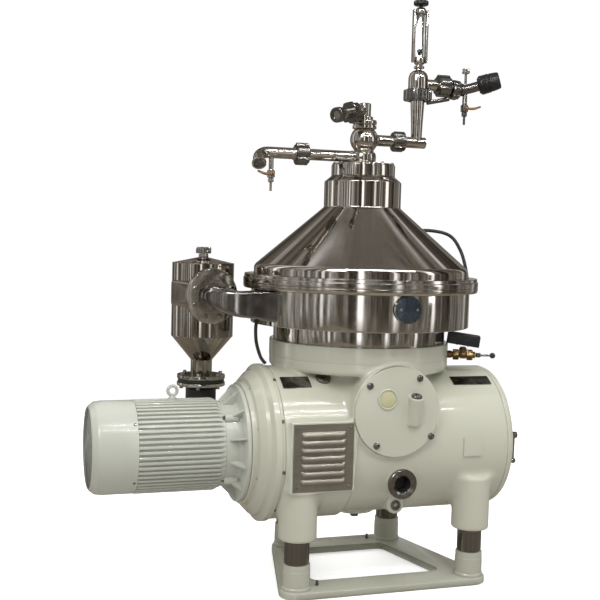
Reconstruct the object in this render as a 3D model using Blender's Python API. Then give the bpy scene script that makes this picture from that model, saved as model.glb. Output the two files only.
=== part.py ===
"""Self-cleaning disc-stack cream separator: housing on a damped base frame, flanged motor,
steel sludge drum with cyclone, conical hood, product piping, and the bowl and drive inside.

Metres, +Z up, the floor at Z = 0. The front of the machine faces -Y and the motor is at -X.
Every piece hangs on one empty that stands on the floor under the bowl's axis, so all the
places below are measured from that axis.
"""
import math

import bmesh
import bpy
from mathutils import Matrix, Vector

# ---- driving dimensions -------------------------------------------------------------------
BOWL_X = 0.2317           # bowl axis from the middle of the machine's length
GAP = 0.0003              # clearance between pieces that touch
FINE, MEDIUM, COARSE = 24, 16, 8     # sides of large, middling and small round pieces

SHAFT_Y = -0.0635         # horizontal drive shaft and motor axis
SHAFT_Z = 0.493
SHAFT_R = 0.019
SPINDLE_LOW, SPINDLE_TOP = 0.300, 0.955

FOOT_X_FRONT, FOOT_Y_FRONT = 0.326, -0.2665
FOOT_X_REAR, FOOT_Y_REAR = 0.209, 0.216
FOOT_MID_X = 0.020
BASE_THICK = 0.025
SOCKET_TOP = 0.112
LEG_BOTTOM = 0.197
LEG_R = 0.0665

BARREL_LEFT, BARREL_RIGHT = -0.373, 0.458
BARREL_R_LEFT, BARREL_R_RIGHT = 0.270, 0.259
BARREL_WALL = 0.014
TOWER_R = 0.328
TOWER_TOP = 0.849
TOWER_WALL = 0.016

COVER_AT, COVER_R = Vector((0.019, -0.3405, 0.6335)), 0.155
LOUVRE_AT = Vector((-0.2435, -0.3362, 0.487))
LOUVRE_HALF_W, LOUVRE_HALF_H = 0.106, 0.1135
PORT_AT, PORT_R = Vector((0.052, -0.317, 0.374)), 0.050
DRAIN_AT = Vector((0.053, -0.268, 0.292))
BRAKE_AT = Vector((0.512, -0.245, 0.520))

SKIRT_R, DRUM_BOTTOM = 0.315, 0.920
DRUM_R, DRUM_TOP = 0.400, 1.035
RING_R, RING_TOP = 0.430, 1.086
HOOD_R = 0.392
NECK_R, NECK_BOTTOM, NECK_TOP = 0.141, 1.333, 1.426
CAP_R, CAP_BOTTOM, CAP_TOP = 0.1165, 1.447, 1.493

PIPE_R, PIPE_WALL = 0.0205, 0.0015
SKIM_Z = 1.518            # lower product pipe
CREAM_Z = 1.582           # upper product pipe
RISER_X = 0.208
METER_Z = 1.798           # side outlet of the regulating valve
FEED_R = 0.0223
SKIM_NUT_X, CREAM_NUT_X = -0.239, 0.135
NUT_LOW, NUT_TOP = 1.736, 1.777

MOTOR_R = 0.160
MOTOR_FIN_LEFT, MOTOR_FIN_RIGHT = -0.839, -0.545

CYCLONE = Vector((-0.546, 0.200))
CYCLONE_R = 0.1142
FLANGE_AT = Vector((-0.563, -0.020, 1.006))
FLANGE_R = 0.0975

FRONT = Vector((0.0, -1.0, 0.0))
TO_X = (0.0, math.pi / 2, 0.0)        # turns a piece's own Z axis to +X
TO_FRONT = (math.pi / 2, 0.0, 0.0)    # turns a piece's own Z axis to -Y

# ---- materials: colour, roughness, metallic -----------------------------------------------
FINISHES = {
    "cream_paint": ((0.60, 0.60, 0.49), 0.35, 0.0),
    "motor_paint": ((0.62, 0.65, 0.57), 0.40, 0.0),
    "base_paint": ((0.38, 0.40, 0.31), 0.45, 0.0),
    "polished_steel": ((0.62, 0.60, 0.58), 0.12, 1.0),
    "dark_steel": ((0.10, 0.10, 0.10), 0.30, 1.0),
    "machined_steel": ((0.45, 0.44, 0.43), 0.35, 1.0),
    "cast_iron": ((0.16, 0.15, 0.14), 0.65, 0.4),
    "bronze": ((0.55, 0.36, 0.13), 0.35, 1.0),
    "brass": ((0.58, 0.42, 0.16), 0.35, 1.0),
    "black_rubber": ((0.02, 0.02, 0.02), 0.75, 0.0),
    "black_plastic": ((0.02, 0.02, 0.022), 0.45, 0.0),
    "amber_plastic": ((0.28, 0.13, 0.04), 0.45, 0.0),
    "sight_glass": ((0.65, 0.62, 0.38), 0.15, 0.0),
    "clear_glass": ((0.80, 0.84, 0.84), 0.05, 0.0),
    "plate_metal": ((0.16, 0.13, 0.10), 0.40, 0.9),
}


def clear_scene():
    for item in list(bpy.data.objects):
        bpy.data.objects.remove(item, do_unlink=True)


def material(name):
    found = bpy.data.materials.get(name)
    if found:
        return found
    colour, roughness, metallic = FINISHES[name]
    made = bpy.data.materials.new(name)
    made.use_nodes = True
    shader = made.node_tree.nodes["Principled BSDF"]
    shader.inputs["Base Color"].default_value = (*colour, 1.0)
    shader.inputs["Roughness"].default_value = roughness
    shader.inputs["Metallic"].default_value = metallic
    return made


# ---- modelling tools ----------------------------------------------------------------------
def machine_axis():
    axis = bpy.data.objects.get("machine_axis")
    if axis is None:
        axis = bpy.data.objects.new("machine_axis", None)
        axis.location = (BOWL_X, 0.0, 0.0)
        bpy.context.collection.objects.link(axis)
    return axis


def piece(name, bm, finish, at=(0, 0, 0), turn=(0, 0, 0), smooth=35):
    """Turn a bmesh into a named object that hangs on the machine's axis."""
    bmesh.ops.recalc_face_normals(bm, faces=bm.faces)
    mesh = bpy.data.meshes.new(name)
    bm.to_mesh(mesh)
    bm.free()
    mesh.materials.append(material(finish))
    mesh.shade_smooth()
    mesh.set_sharp_from_angle(angle=math.radians(smooth))
    made = bpy.data.objects.new(name, mesh)
    made.location = at
    made.rotation_euler = turn
    made.parent = machine_axis()
    bpy.context.collection.objects.link(made)
    return made


def combine(target, helper, operation):
    """Union or difference with a helper solid, which is then hidden.

    A piece marked many_cuts takes the MANIFOLD solver, because EXACT leaves open seams there.
    """
    helper.hide_render = True
    helper.display_type = "WIRE"
    modifier = target.modifiers.new(f"{operation.lower()}_{helper.name}", "BOOLEAN")
    modifier.operation = operation
    modifier.object = helper
    modifier.solver = "MANIFOLD" if target.get("many_cuts") else "EXACT"


def add(target, *helpers):
    for helper in helpers:
        combine(target, helper, "UNION")


def cut(target, *helpers):
    for helper in helpers:
        combine(target, helper, "DIFFERENCE")


def turned_mesh(profile, sides):
    """Closed solid of revolution about Z from a closed outline of (radius, height) points."""
    bm = bmesh.new()
    rings = []
    for radius, height in profile:
        if radius < 1e-6:
            rings.append([bm.verts.new((0.0, 0.0, height))])
            continue
        ring = []
        for side in range(sides):
            angle = 2.0 * math.pi * side / sides
            ring.append(bm.verts.new((radius * math.cos(angle), radius * math.sin(angle), height)))
        rings.append(ring)
    count = len(rings)
    for index in range(count):
        lower, upper = rings[index], rings[(index + 1) % count]
        if len(lower) == 1 and len(upper) == 1:
            continue
        for side in range(sides):
            after = (side + 1) % sides
            corners = [lower[side % len(lower)], lower[after % len(lower)],
                       upper[after % len(upper)], upper[side % len(upper)]]
            face = [corner for spot, corner in enumerate(corners) if corner not in corners[:spot]]
            bm.faces.new(face)
    return bm


def turned(name, profile, finish, at=(0, 0, 0), turn=(0, 0, 0), sides=MEDIUM, smooth=35):
    return piece(name, turned_mesh(profile, sides), finish, at, turn, smooth)


def rod(name, radius, low, high, finish, at=(0, 0, 0), turn=(0, 0, 0), sides=COARSE, edge=0.0):
    """Plain round bar between two heights, with chamfered rims when edge is given."""
    outline = [(0.0, low), (radius - edge, low)]
    if edge:
        outline += [(radius, low + edge), (radius, high - edge)]
    outline += [(radius - edge, high), (0.0, high)]
    return turned(name, outline, finish, at, turn, sides)


def sleeve(name, outer, inner, low, high, finish, at=(0, 0, 0), turn=(0, 0, 0), sides=MEDIUM,
           edge=0.0):
    """Tube between two heights, with chamfered outer rims when edge is given."""
    outline = [(inner, low), (outer - edge, low)]
    if edge:
        outline += [(outer, low + edge), (outer, high - edge)]
    outline += [(outer - edge, high), (inner, high)]
    return turned(name, outline, finish, at, turn, sides)


def box(name, size, finish, at=(0, 0, 0), turn=(0, 0, 0), edge=0.0):
    """Block centred on its place, with its edges bevelled when edge is given."""
    bm = bmesh.new()
    bmesh.ops.create_cube(bm, size=1.0, matrix=Matrix.Diagonal((*size, 1.0)))
    if edge:
        bmesh.ops.bevel(bm, geom=bm.edges[:], offset=edge, segments=2, affect="EDGES")
    return piece(name, bm, finish, at, turn)


def prism(name, outline, low, high, finish, at=(0, 0, 0), turn=(0, 0, 0)):
    """Flat outline of (x, y) points raised from one height to another."""
    bm = bmesh.new()
    base = bm.faces.new([bm.verts.new((x, y, low)) for x, y in outline])
    raised = bmesh.ops.extrude_face_region(bm, geom=[base])["geom"]
    lifted = [item for item in raised if isinstance(item, bmesh.types.BMVert)]
    bmesh.ops.translate(bm, verts=lifted, vec=(0.0, 0.0, high - low))
    return piece(name, bm, finish, at, turn)


def loft(sections, closed_ends=True):
    """Skin of quads over equal-length loops of points, with a flat cap at each end."""
    bm = bmesh.new()
    loops = [[bm.verts.new(point) for point in section] for section in sections]
    for lower, upper in zip(loops, loops[1:]):
        for side in range(len(lower)):
            after = (side + 1) % len(lower)
            bm.faces.new((lower[side], lower[after], upper[after], upper[side]))
    if closed_ends:
        bm.faces.new(loops[0])
        bm.faces.new(loops[-1])
    return bm


def path_frames(points):
    """Direction and two cross directions at each point of a path, without twist."""
    frames = []
    side = None
    for index, point in enumerate(points):
        before = points[max(index - 1, 0)]
        after = points[min(index + 1, len(points) - 1)]
        along = (after - before).normalized()
        if side is None:
            side = along.orthogonal()
        side = (side - along * side.dot(along)).normalized()
        frames.append((point, side, along.cross(side)))
    return frames


def circle_sections(points, radius, sides):
    sections = []
    for point, side, over in path_frames(points):
        ring = []
        for step in range(sides):
            angle = 2.0 * math.pi * step / sides
            ring.append(point + radius * (math.cos(angle) * side + math.sin(angle) * over))
        sections.append(ring)
    return sections


def bent_pipe(name, points, radius, finish, wall=None, sides=COARSE, at=(0, 0, 0)):
    """Round pipe along a path; it is hollow and open at both ends when wall is given."""
    outer = circle_sections(points, radius, sides)
    if wall is None:
        return piece(name, loft(outer), finish, at)
    inner = circle_sections(points, radius - wall, sides)
    bm = loft(outer + inner[::-1], closed_ends=False)
    bm.verts.ensure_lookup_table()
    last = len(bm.verts) - sides
    for side in range(sides):
        after = (side + 1) % sides
        bm.faces.new((bm.verts[last + side], bm.verts[last + after],
                      bm.verts[after], bm.verts[side]))
    return piece(name, bm, finish, at)


def arc(centre, start, end, steps):
    """Points that swing from start to end about a centre, both ends included."""
    first, last = start - centre, end - centre
    total = first.angle(last)
    normal = first.cross(last).normalized()
    turns = [Matrix.Rotation(total * step / steps, 3, normal) for step in range(steps + 1)]
    return [centre + turn @ first for turn in turns]


def rounded(points, radius, steps):
    """Polyline with its inner corners replaced by arcs of one radius."""
    route = [points[0]]
    for before, corner, after in zip(points, points[1:], points[2:]):
        back, ahead = (before - corner).normalized(), (after - corner).normalized()
        half = back.angle(ahead) / 2.0
        reach = radius / math.tan(half)
        centre = corner + (back + ahead).normalized() * radius / math.sin(half)
        route += arc(centre, corner + back * reach, corner + ahead * reach, steps)
    return route + [points[-1]]


def smooth_route(points, steps):
    """Catmull-Rom curve through points, read at equal steps."""
    ends = [2 * points[0] - points[1]] + points + [2 * points[-1] - points[-2]]
    route = []
    for before, start, finish, after in zip(ends, ends[1:], ends[2:], ends[3:]):
        for step in range(steps):
            t = step / steps
            route.append(0.5 * (2 * start + (finish - before) * t
                                + (2 * before - 5 * start + 4 * finish - after) * t ** 2
                                + (3 * start - before - 3 * finish + after) * t ** 3))
    return route + [points[-1]]


def hose(name, points, radius, finish, steps=3):
    """Flexible hose: a curve with a round bevel along a smooth route."""
    route = smooth_route([Vector(point) for point in points], steps)
    curve = bpy.data.curves.new(name, "CURVE")
    curve.dimensions = "3D"
    curve.bevel_depth = radius
    curve.bevel_resolution = 2
    curve.use_fill_caps = True
    spline = curve.splines.new("POLY")
    spline.points.add(len(route) - 1)
    for knot, point in zip(spline.points, route):
        knot.co = (*point, 1.0)
    curve.materials.append(material(finish))
    made = bpy.data.objects.new(name, curve)
    made.parent = machine_axis()
    bpy.context.collection.objects.link(made)
    return made


def slotted_nut(name, outer, bore, length, finish, at, turn):
    """Round union nut with six spanner slots in its rim."""
    sides = 12
    half = length / 2
    bm = bmesh.new()
    outline = [(bore, -half), (outer, -half), (outer, half), (bore, half)]
    rings = []
    for radius, height in outline:
        ring = []
        for side in range(sides):
            angle = 2.0 * math.pi * side / sides
            in_slot = radius > bore and side % 2 == 0
            reach = radius * 0.88 if in_slot else radius
            ring.append(bm.verts.new((reach * math.cos(angle), reach * math.sin(angle), height)))
        rings.append(ring)
    for index, lower in enumerate(rings):
        upper = rings[(index + 1) % len(rings)]
        for side in range(sides):
            after = (side + 1) % sides
            bm.faces.new((lower[side], lower[after], upper[after], upper[side]))
    return piece(name, bm, finish, at, turn)


# ---- base frame and feet ------------------------------------------------------------------
def foot_places():
    """The four feet: wide pair in front, narrow pair behind, on one symmetric trapezoid."""
    front, rear = FOOT_X_FRONT, FOOT_X_REAR
    return {
        "front_left": (FOOT_MID_X - front, FOOT_Y_FRONT),
        "front_right": (FOOT_MID_X + front, FOOT_Y_FRONT),
        "rear_right": (FOOT_MID_X + rear, FOOT_Y_REAR),
        "rear_left": (FOOT_MID_X - rear, FOOT_Y_REAR),
    }


def rounded_outline(corners, radius, steps, outward):
    """Counter-clockwise outline round the corners, moved outward and given round corners."""
    outline = []
    count = len(corners)
    for index, corner in enumerate(corners):
        before = (corners[index - 1] - corner).normalized()
        after = (corners[(index + 1) % count] - corner).normalized()
        start = Vector((-before.y, before.x)) * -1.0
        sweep = math.pi - before.angle(after)
        half = before.angle(after) / 2.0
        inset = (before + after).normalized() * (radius - outward) / math.sin(half)
        for step in range(steps + 1):
            turn = Matrix.Rotation(sweep * step / steps, 2)
            outline.append(corner + inset + turn @ (-start) * radius)
    return [(point.x, point.y) for point in outline]


def base_frame():
    rail_half, corner_r, window_r = 0.055, 0.058, 0.030
    socket_r, socket_foot = 0.048, 0.052
    corners = [Vector(place) for place in foot_places().values()]
    outer = rounded_outline(corners, corner_r, 4, corner_r)
    inner = rounded_outline(corners, window_r, 3, -rail_half)
    frame = prism("base_frame", outer, 0.0, BASE_THICK, "base_paint")
    window = prism("base_window", inner, -0.01, BASE_THICK + 0.01, "base_paint")
    cut(frame, window)
    for name, (x, y) in foot_places().items():
        profile = [(0.0, BASE_THICK - 0.01), (socket_foot, BASE_THICK - 0.01),
                   (socket_foot, BASE_THICK + 0.008), (socket_r, BASE_THICK + 0.012),
                   (socket_r, SOCKET_TOP), (0.0, SOCKET_TOP)]
        add(frame, turned(f"socket_{name}", profile, "base_paint", (x, y, 0), sides=16))


def foot_dampers():
    """Rubber spring between steel cups, one under each leg."""
    low, high = SOCKET_TOP + GAP, LEG_BOTTOM - GAP
    profile = [(0.0, low), (0.042, low), (0.038, low + 0.028), (0.038, high - 0.028),
               (0.0435, high - 0.024), (0.0435, high), (0.0, high)]
    for name, (x, y) in foot_places().items():
        turned(f"foot_damper_{name}", profile, "black_rubber", (x, y, 0), sides=16)


# ---- housing ------------------------------------------------------------------------------
def barrel_solid():
    return [(0.0, BARREL_LEFT), (BARREL_R_LEFT, BARREL_LEFT), (BARREL_R_LEFT, -0.130),
            (BARREL_R_LEFT - 0.007, -0.112), (BARREL_R_RIGHT, 0.300),
            (BARREL_R_RIGHT, BARREL_RIGHT), (0.0, BARREL_RIGHT)]


def cut_barrel_chambers(housing, on_shaft):
    """Clutch, gear and brake chambers, with cast webs between them that seat the shaft."""
    left, right = BARREL_R_LEFT - BARREL_WALL, BARREL_R_RIGHT - BARREL_WALL
    chambers = {
        "clutch_chamber": (left, BARREL_LEFT - 0.02, -0.215),
        "gear_chamber": (right, -0.195, 0.215),
        "brake_chamber": (right, 0.235, BARREL_RIGHT + 0.02),
        "shaft_bore": (SHAFT_R + 0.0025, BARREL_LEFT, BARREL_RIGHT),
    }
    for name, (radius, low, high) in chambers.items():
        sides = COARSE if name == "shaft_bore" else FINE
        cut(housing, rod(name, radius, low, high, "cast_iron", on_shaft, TO_X, sides))


def machine_housing():
    """One casting: barrel, tower, four legs, and the pads and necks on its front."""
    on_shaft = (0, SHAFT_Y, SHAFT_Z)
    housing = turned("machine_housing", barrel_solid(), "cream_paint", on_shaft, TO_X, FINE)
    housing["many_cuts"] = True
    tower = [(0.0, 0.60), (TOWER_R - 0.04, 0.60), (TOWER_R, 0.68), (TOWER_R, TOWER_TOP - 0.008),
             (TOWER_R - 0.006, TOWER_TOP), (0.0, TOWER_TOP)]
    add(housing, turned("tower_solid", tower, "cream_paint", sides=FINE))
    boss = (COVER_AT.x, 0, COVER_AT.z)
    boss_face = -COVER_AT.y - 0.008 - GAP
    add(housing, rod("cover_boss", COVER_R + 0.004, 0.05, boss_face, "cream_paint", boss,
                     TO_FRONT, FINE, 0.003))
    pad = (2 * LOUVRE_HALF_W + 0.016, 0.12, 2 * LOUVRE_HALF_H + 0.016)
    pad_at = (LOUVRE_AT.x, LOUVRE_AT.y + GAP + pad[1] / 2, LOUVRE_AT.z)
    add(housing, box("louvre_pad", pad, "cream_paint", pad_at, edge=0.006))
    add(housing, rod("port_neck", PORT_R - 0.006, 0.12, -PORT_AT.y - GAP, "cream_paint",
                     (PORT_AT.x, 0, PORT_AT.z), TO_FRONT, 16, 0.002))
    add(housing, rod("drain_boss", 0.031, 0.12, -DRAIN_AT.y, "cream_paint",
                     (DRAIN_AT.x, 0, DRAIN_AT.z), TO_FRONT, 16, 0.002))
    leg = [(0.0, LEG_BOTTOM), (LEG_R - 0.004, LEG_BOTTOM), (LEG_R, LEG_BOTTOM + 0.004),
           (LEG_R, 0.365), (LEG_R * 0.8, 0.405), (0.0, 0.425)]
    for name, (x, y) in foot_places().items():
        add(housing, turned(f"leg_{name}", leg, "cream_paint", (x, y, 0), sides=MEDIUM))
    cut_barrel_chambers(housing, on_shaft)
    bore, lip, floor = TOWER_R - TOWER_WALL, 0.292, 0.775
    hollow = [(0.0, floor), (bore, floor), (bore, TOWER_TOP - 0.012), (lip, TOWER_TOP - 0.012),
              (lip, TOWER_TOP + 0.02), (0.0, TOWER_TOP + 0.02)]
    cut(housing, turned("tower_bore", hollow, "cast_iron", sides=FINE))
    cut(housing, rod("spindle_bore", 0.030, 0.60, floor + 0.02, "cast_iron"))
    cut(housing, rod("cover_hole", COVER_R - 0.022, 0.10, 0.40, "cast_iron", boss, TO_FRONT, FINE))
    vent = (2 * LOUVRE_HALF_W - 0.05, 0.30, 2 * LOUVRE_HALF_H - 0.05)
    cut(housing, box("louvre_hole", vent, "cast_iron", (LOUVRE_AT.x, -0.30, LOUVRE_AT.z)))
    cut(housing, rod("port_hole", 0.029, 0.10, 0.40, "cast_iron", (PORT_AT.x, 0, PORT_AT.z),
                     TO_FRONT, 16))
    add(housing, rod("step_bearing", 0.030, 0.236, SPINDLE_LOW - GAP, "cast_iron"))


def gear_cover():
    """Round cover on the front, with a sight glass and a filler boss that slants upward."""
    thick, centre = 0.008, COVER_AT
    profile = [(0.0, -thick), (COVER_R, -thick), (COVER_R, -0.002), (COVER_R - 0.002, 0.0),
               (0.0, 0.0)]
    cover = turned("gear_access_cover", profile, "cream_paint", centre, TO_FRONT, FINE)
    glass_at = centre + Vector((-0.038, 0.0, 0.045))
    boss_at = centre + Vector((0.066, 0.0, 0.014))
    add(cover, rod("glass_rim", 0.036, -0.004, 0.004, "cream_paint", glass_at, TO_FRONT))
    tilt = math.radians(24)
    add(cover, rod("filler_boss", 0.022, -0.055, 0.045, "cream_paint", boss_at, (tilt, 0, 0), 12))
    inside = (0.12, 0.10, 0.20)
    cut(cover, box("boss_trim", inside, "cream_paint",
                   boss_at + Vector((0.0, thick + inside[1] / 2, 0.0))))
    cut(cover, rod("glass_hole", 0.0275, -0.02, 0.02, "cream_paint", glass_at, TO_FRONT, MEDIUM))
    turned("oil_sight_glass", [(0.0, -0.007), (0.027, -0.007), (0.027, 0.003), (0.023, 0.006),
                               (0.0, 0.007)], "sight_glass", glass_at, TO_FRONT)


def louvre_panel():
    """Steel vent plate with seven pressed louvres, each open at its lower edge."""
    thick, slats, pitch = 0.0025, 7, 0.0262
    size = (2 * LOUVRE_HALF_W, thick, 2 * LOUVRE_HALF_H)
    at = LOUVRE_AT + FRONT * thick / 2
    panel = box("louvre_panel", size, "plate_metal", at)
    for slat in range(slats):
        z = LOUVRE_AT.z + (slat - (slats - 1) / 2) * pitch
        slot = (0.150, 4 * thick, 0.008)
        cut(panel, box(f"vent_slot_{slat + 1}", slot, "plate_metal", (LOUVRE_AT.x, at.y, z)))


def oil_port():
    ring = [(0.029, 0.0), (PORT_R, 0.0), (PORT_R, 0.013), (PORT_R - 0.003, 0.015),
            (0.029, 0.015)]
    turned("oil_port_ring", ring, "machined_steel", PORT_AT, TO_FRONT, MEDIUM)


def end_cover():
    """Right-hand cover of the barrel, with the bearing boss of the brake lever."""
    start = BARREL_RIGHT + GAP
    outline = [(0.0, start), (BARREL_R_RIGHT, start), (BARREL_R_RIGHT, start + 0.010),
               (BARREL_R_RIGHT - 0.006, start + 0.022), (BARREL_R_RIGHT - 0.020, start + 0.030),
               (0.0, start + 0.034)]
    cover = turned("end_cover", outline, "cream_paint", (0, SHAFT_Y, SHAFT_Z), TO_X, FINE)
    add(cover, rod("brake_boss", 0.017, -0.030, 0.0, "cream_paint", BRAKE_AT, TO_X, 16))


def ball_outline(radius, low=-4, high=4, middle=0.0):
    """Half outline of a ball in steps of a sixteenth turn, closed on the axis at its poles."""
    points = []
    for step in range(low, high + 1):
        angle = step * math.pi / 8
        points.append((radius * math.cos(angle), middle + radius * math.sin(angle)))
    return points


def brake_lever():
    """Hand lever of the drum brake, outside the end cover."""
    reach, ball_r = 0.088, 0.0105
    hub = rod("brake_lever", 0.015, GAP, 0.022, "dark_steel", BRAKE_AT, TO_X, 12, 0.002)
    arm_at = BRAKE_AT + Vector((0.012, 0.0, -reach / 2))
    add(hub, rod("brake_arm", 0.0045, -reach / 2, reach / 2, "dark_steel", arm_at, sides=8))
    end = BRAKE_AT + Vector((0.012, 0.0, -reach - ball_r * 0.6))
    add(hub, turned("brake_ball", ball_outline(ball_r), "dark_steel", end, sides=10))


# ---- left side: adapter and motor ---------------------------------------------------------
def drive_bell():
    """Stepped bell that carries the motor on the housing's left mouth."""
    outline = [(0.245, BARREL_LEFT - GAP), (0.252, -0.408), (0.205, -0.440), (0.150, -0.452),
               (0.150, -0.470), (0.214, -0.470), (0.214, -0.452), (0.232, -0.449),
               (0.262, -0.428), (0.284, -0.412), (0.284, -0.390), (0.275, -0.386),
               (0.275, BARREL_LEFT - GAP)]
    turned("drive_bell", outline, "cream_paint", (0, SHAFT_Y, SHAFT_Z), TO_X, FINE)


def motor():
    """Flanged motor: end shield, finned stator, fan cover with a guard, and lifting eye."""
    axis = (0, SHAFT_Y, SHAFT_Z)
    face = -0.470 - GAP
    shield = [(0.034, face), (0.205, face), (0.205, face - 0.014), (0.165, face - 0.030),
              (0.140, face - 0.050), (0.140, MOTOR_FIN_RIGHT + GAP),
              (0.125, MOTOR_FIN_RIGHT + GAP), (0.125, -0.500), (0.034, -0.492)]
    front = turned("motor_end_shield", shield, "motor_paint", axis, TO_X, 24)
    for quarter in range(4):
        angle = math.pi / 4 + quarter * math.pi / 2
        lug_at = Vector((-0.525, SHAFT_Y + 0.142 * math.cos(angle),
                         SHAFT_Z + 0.142 * math.sin(angle)))
        add(front, rod(f"shield_lug_{quarter + 1}", 0.014, -0.018, 0.018, "motor_paint", lug_at,
                       TO_X, 10))
    finned_stator(axis)
    cover_in = MOTOR_FIN_LEFT - GAP
    shell = [(0.1585, cover_in), (0.1585, -0.950), (0.152, -0.976), (0.138, -0.989),
             (0.112, -0.992), (0.112, -0.989), (0.137, -0.986), (0.150, -0.973),
             (0.156, -0.949), (0.156, cover_in)]
    cover = turned("motor_fan_cover", shell, "motor_paint", axis, TO_X, FINE)
    add_fan_guard(cover, axis)
    eye_at = Vector((-0.704, SHAFT_Y, SHAFT_Z + MOTOR_R + GAP))
    eye = rod("motor_lifting_eye", 0.013, 0.0, 0.008, "motor_paint", eye_at, sides=16)
    loop = circle_path(eye_at + Vector((0.0, 0.0, 0.0235)), 0.0135, 12)
    add(eye, bent_ring("eye_loop", loop, 0.0048, "motor_paint"))


def circle_path(centre, radius, steps):
    """Closed ring of points in a plane that faces the front."""
    turns = [2.0 * math.pi * step / steps for step in range(steps)]
    return [centre + Vector((radius * math.cos(a), 0.0, radius * math.sin(a))) for a in turns]


def bent_ring(name, points, radius, finish):
    """Round bar bent into a closed ring."""
    centre = sum(points, Vector()) / len(points)
    bm = bmesh.new()
    loops = []
    for point in points:
        out = (point - centre).normalized()
        loops.append([bm.verts.new(point + radius * (math.cos(a) * out + math.sin(a) * FRONT))
                      for a in (math.pi * step / 4 for step in range(8))])
    for index, lower in enumerate(loops):
        upper = loops[(index + 1) % len(loops)]
        for side in range(8):
            after = (side + 1) % 8
            bm.faces.new((lower[side], lower[after], upper[after], upper[side]))
    return piece(name, bm, finish)


def finned_stator(axis):
    """Stator housing with straight cooling fins all round and a plain bore."""
    fins, root_r, bore = 32, 0.143, 0.098
    bm = bmesh.new()
    loops = []
    for x, tip in ((MOTOR_FIN_LEFT, MOTOR_R), (MOTOR_FIN_RIGHT - 0.018, MOTOR_R),
                   (MOTOR_FIN_RIGHT, root_r + 0.004)):
        ring = []
        for fin in range(fins):
            for part, radius in ((0.0, root_r), (0.52, root_r), (0.62, tip), (0.9, tip)):
                angle = 2.0 * math.pi * (fin + part) / fins
                ring.append(bm.verts.new((radius * math.cos(angle), radius * math.sin(angle), x)))
        loops.append(ring)
    for lower, upper in zip(loops, loops[1:]):
        for side in range(len(lower)):
            after = (side + 1) % len(lower)
            bm.faces.new((lower[side], lower[after], upper[after], upper[side]))
    bm.faces.new(loops[0])
    bm.faces.new(loops[-1])
    stator = piece("motor_stator", bm, "motor_paint", axis, TO_X, 25)
    cut(stator, rod("stator_bore", bore, MOTOR_FIN_LEFT - 0.01, MOTOR_FIN_RIGHT + 0.01,
                    "cast_iron", axis, TO_X, MEDIUM))


def add_fan_guard(cover, axis):
    """Slotted guard plate across the air intake of the fan cover."""
    add(cover, turned("fan_guard", [(0.0, -0.998), (0.060, -0.996), (0.114, -0.9925),
                                    (0.114, -0.9895), (0.060, -0.993), (0.0, -0.995)],
                      "motor_paint", axis, TO_X, 24))
    for spoke in range(6):
        angle = 2.0 * math.pi * (spoke + 0.5) / 6
        middle = Vector((-0.993, SHAFT_Y + 0.066 * math.cos(angle),
                         SHAFT_Z + 0.066 * math.sin(angle)))
        cut(cover, box(f"guard_slot_{spoke + 1}", (0.02, 0.070, 0.022), "motor_paint", middle,
                       (angle, 0, 0)))


# ---- steel top works ----------------------------------------------------------------------
def facing(direction):
    """Rotation that turns a piece's own Z axis to a direction."""
    return Vector(direction).to_track_quat("Z", "Y").to_euler()


def drum_skirt():
    low, high, wall = TOWER_TOP + GAP, DRUM_BOTTOM - GAP, 0.006
    outline = [(0.285, low), (SKIRT_R, low), (SKIRT_R, high), (0.280, high),
               (0.280, high - wall), (SKIRT_R - wall, high - wall),
               (SKIRT_R - wall, low + wall), (0.285, low + wall)]
    turned("drum_skirt", outline, "polished_steel", sides=FINE)


def squared_circle(centre, across, upward, half_w, half_h, power):
    """Loop that runs from an ellipse, at power 2, to almost a rectangle at power 10."""
    loop = []
    for step in range(16):
        angle = 2.0 * math.pi * (step + 0.5) / 16
        c, s = math.cos(angle), math.sin(angle)
        u = math.copysign(abs(c) ** (2.0 / power), c) * half_w
        v = math.copysign(abs(s) ** (2.0 / power), s) * half_h
        loop.append(centre + across * u + upward * v)
    return loop


def flange_heading():
    """Flow direction through the duct flange, from the drum to the cyclone."""
    return Vector((-0.25, 0.968, 0.0)).normalized()


def duct_sections(shrink):
    """Sections of the sludge duct: square at the drum, round at the flange after its bend."""
    up = Vector((0, 0, 1))
    start = Vector((-0.330, -0.105, 0.975))
    bend_r, turn = 0.100, math.acos(0.25)
    straight = Vector((-0.466, -0.105, 0.983))
    steps = 4
    sections = []
    for centre, power, high in ((start, 10, 0.049), (straight, 10, 0.045)):
        sections.append(squared_circle(centre, Vector((0, 1, 0)), up, 0.045 - shrink,
                                       high - shrink, power))
    for step in range(1, steps + 1):
        share = step / steps
        angle = turn * share
        centre = straight + Vector((-bend_r * math.sin(angle), bend_r * (1 - math.cos(angle)),
                                    (FLANGE_AT.z - straight.z) * share))
        across = Vector((math.sin(angle), math.cos(angle), 0))
        power = 2 + 8 * (1 - share) ** 2
        sections.append(squared_circle(centre, across, up, 0.045 - 0.006 * share - shrink,
                                       0.045 - 0.006 * share - shrink, power))
    end = sections[-1]
    heading = flange_heading()
    reach = 0.010 if shrink == 0 else 0.03
    sections.append([point + heading * reach for point in end])
    return sections


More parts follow.
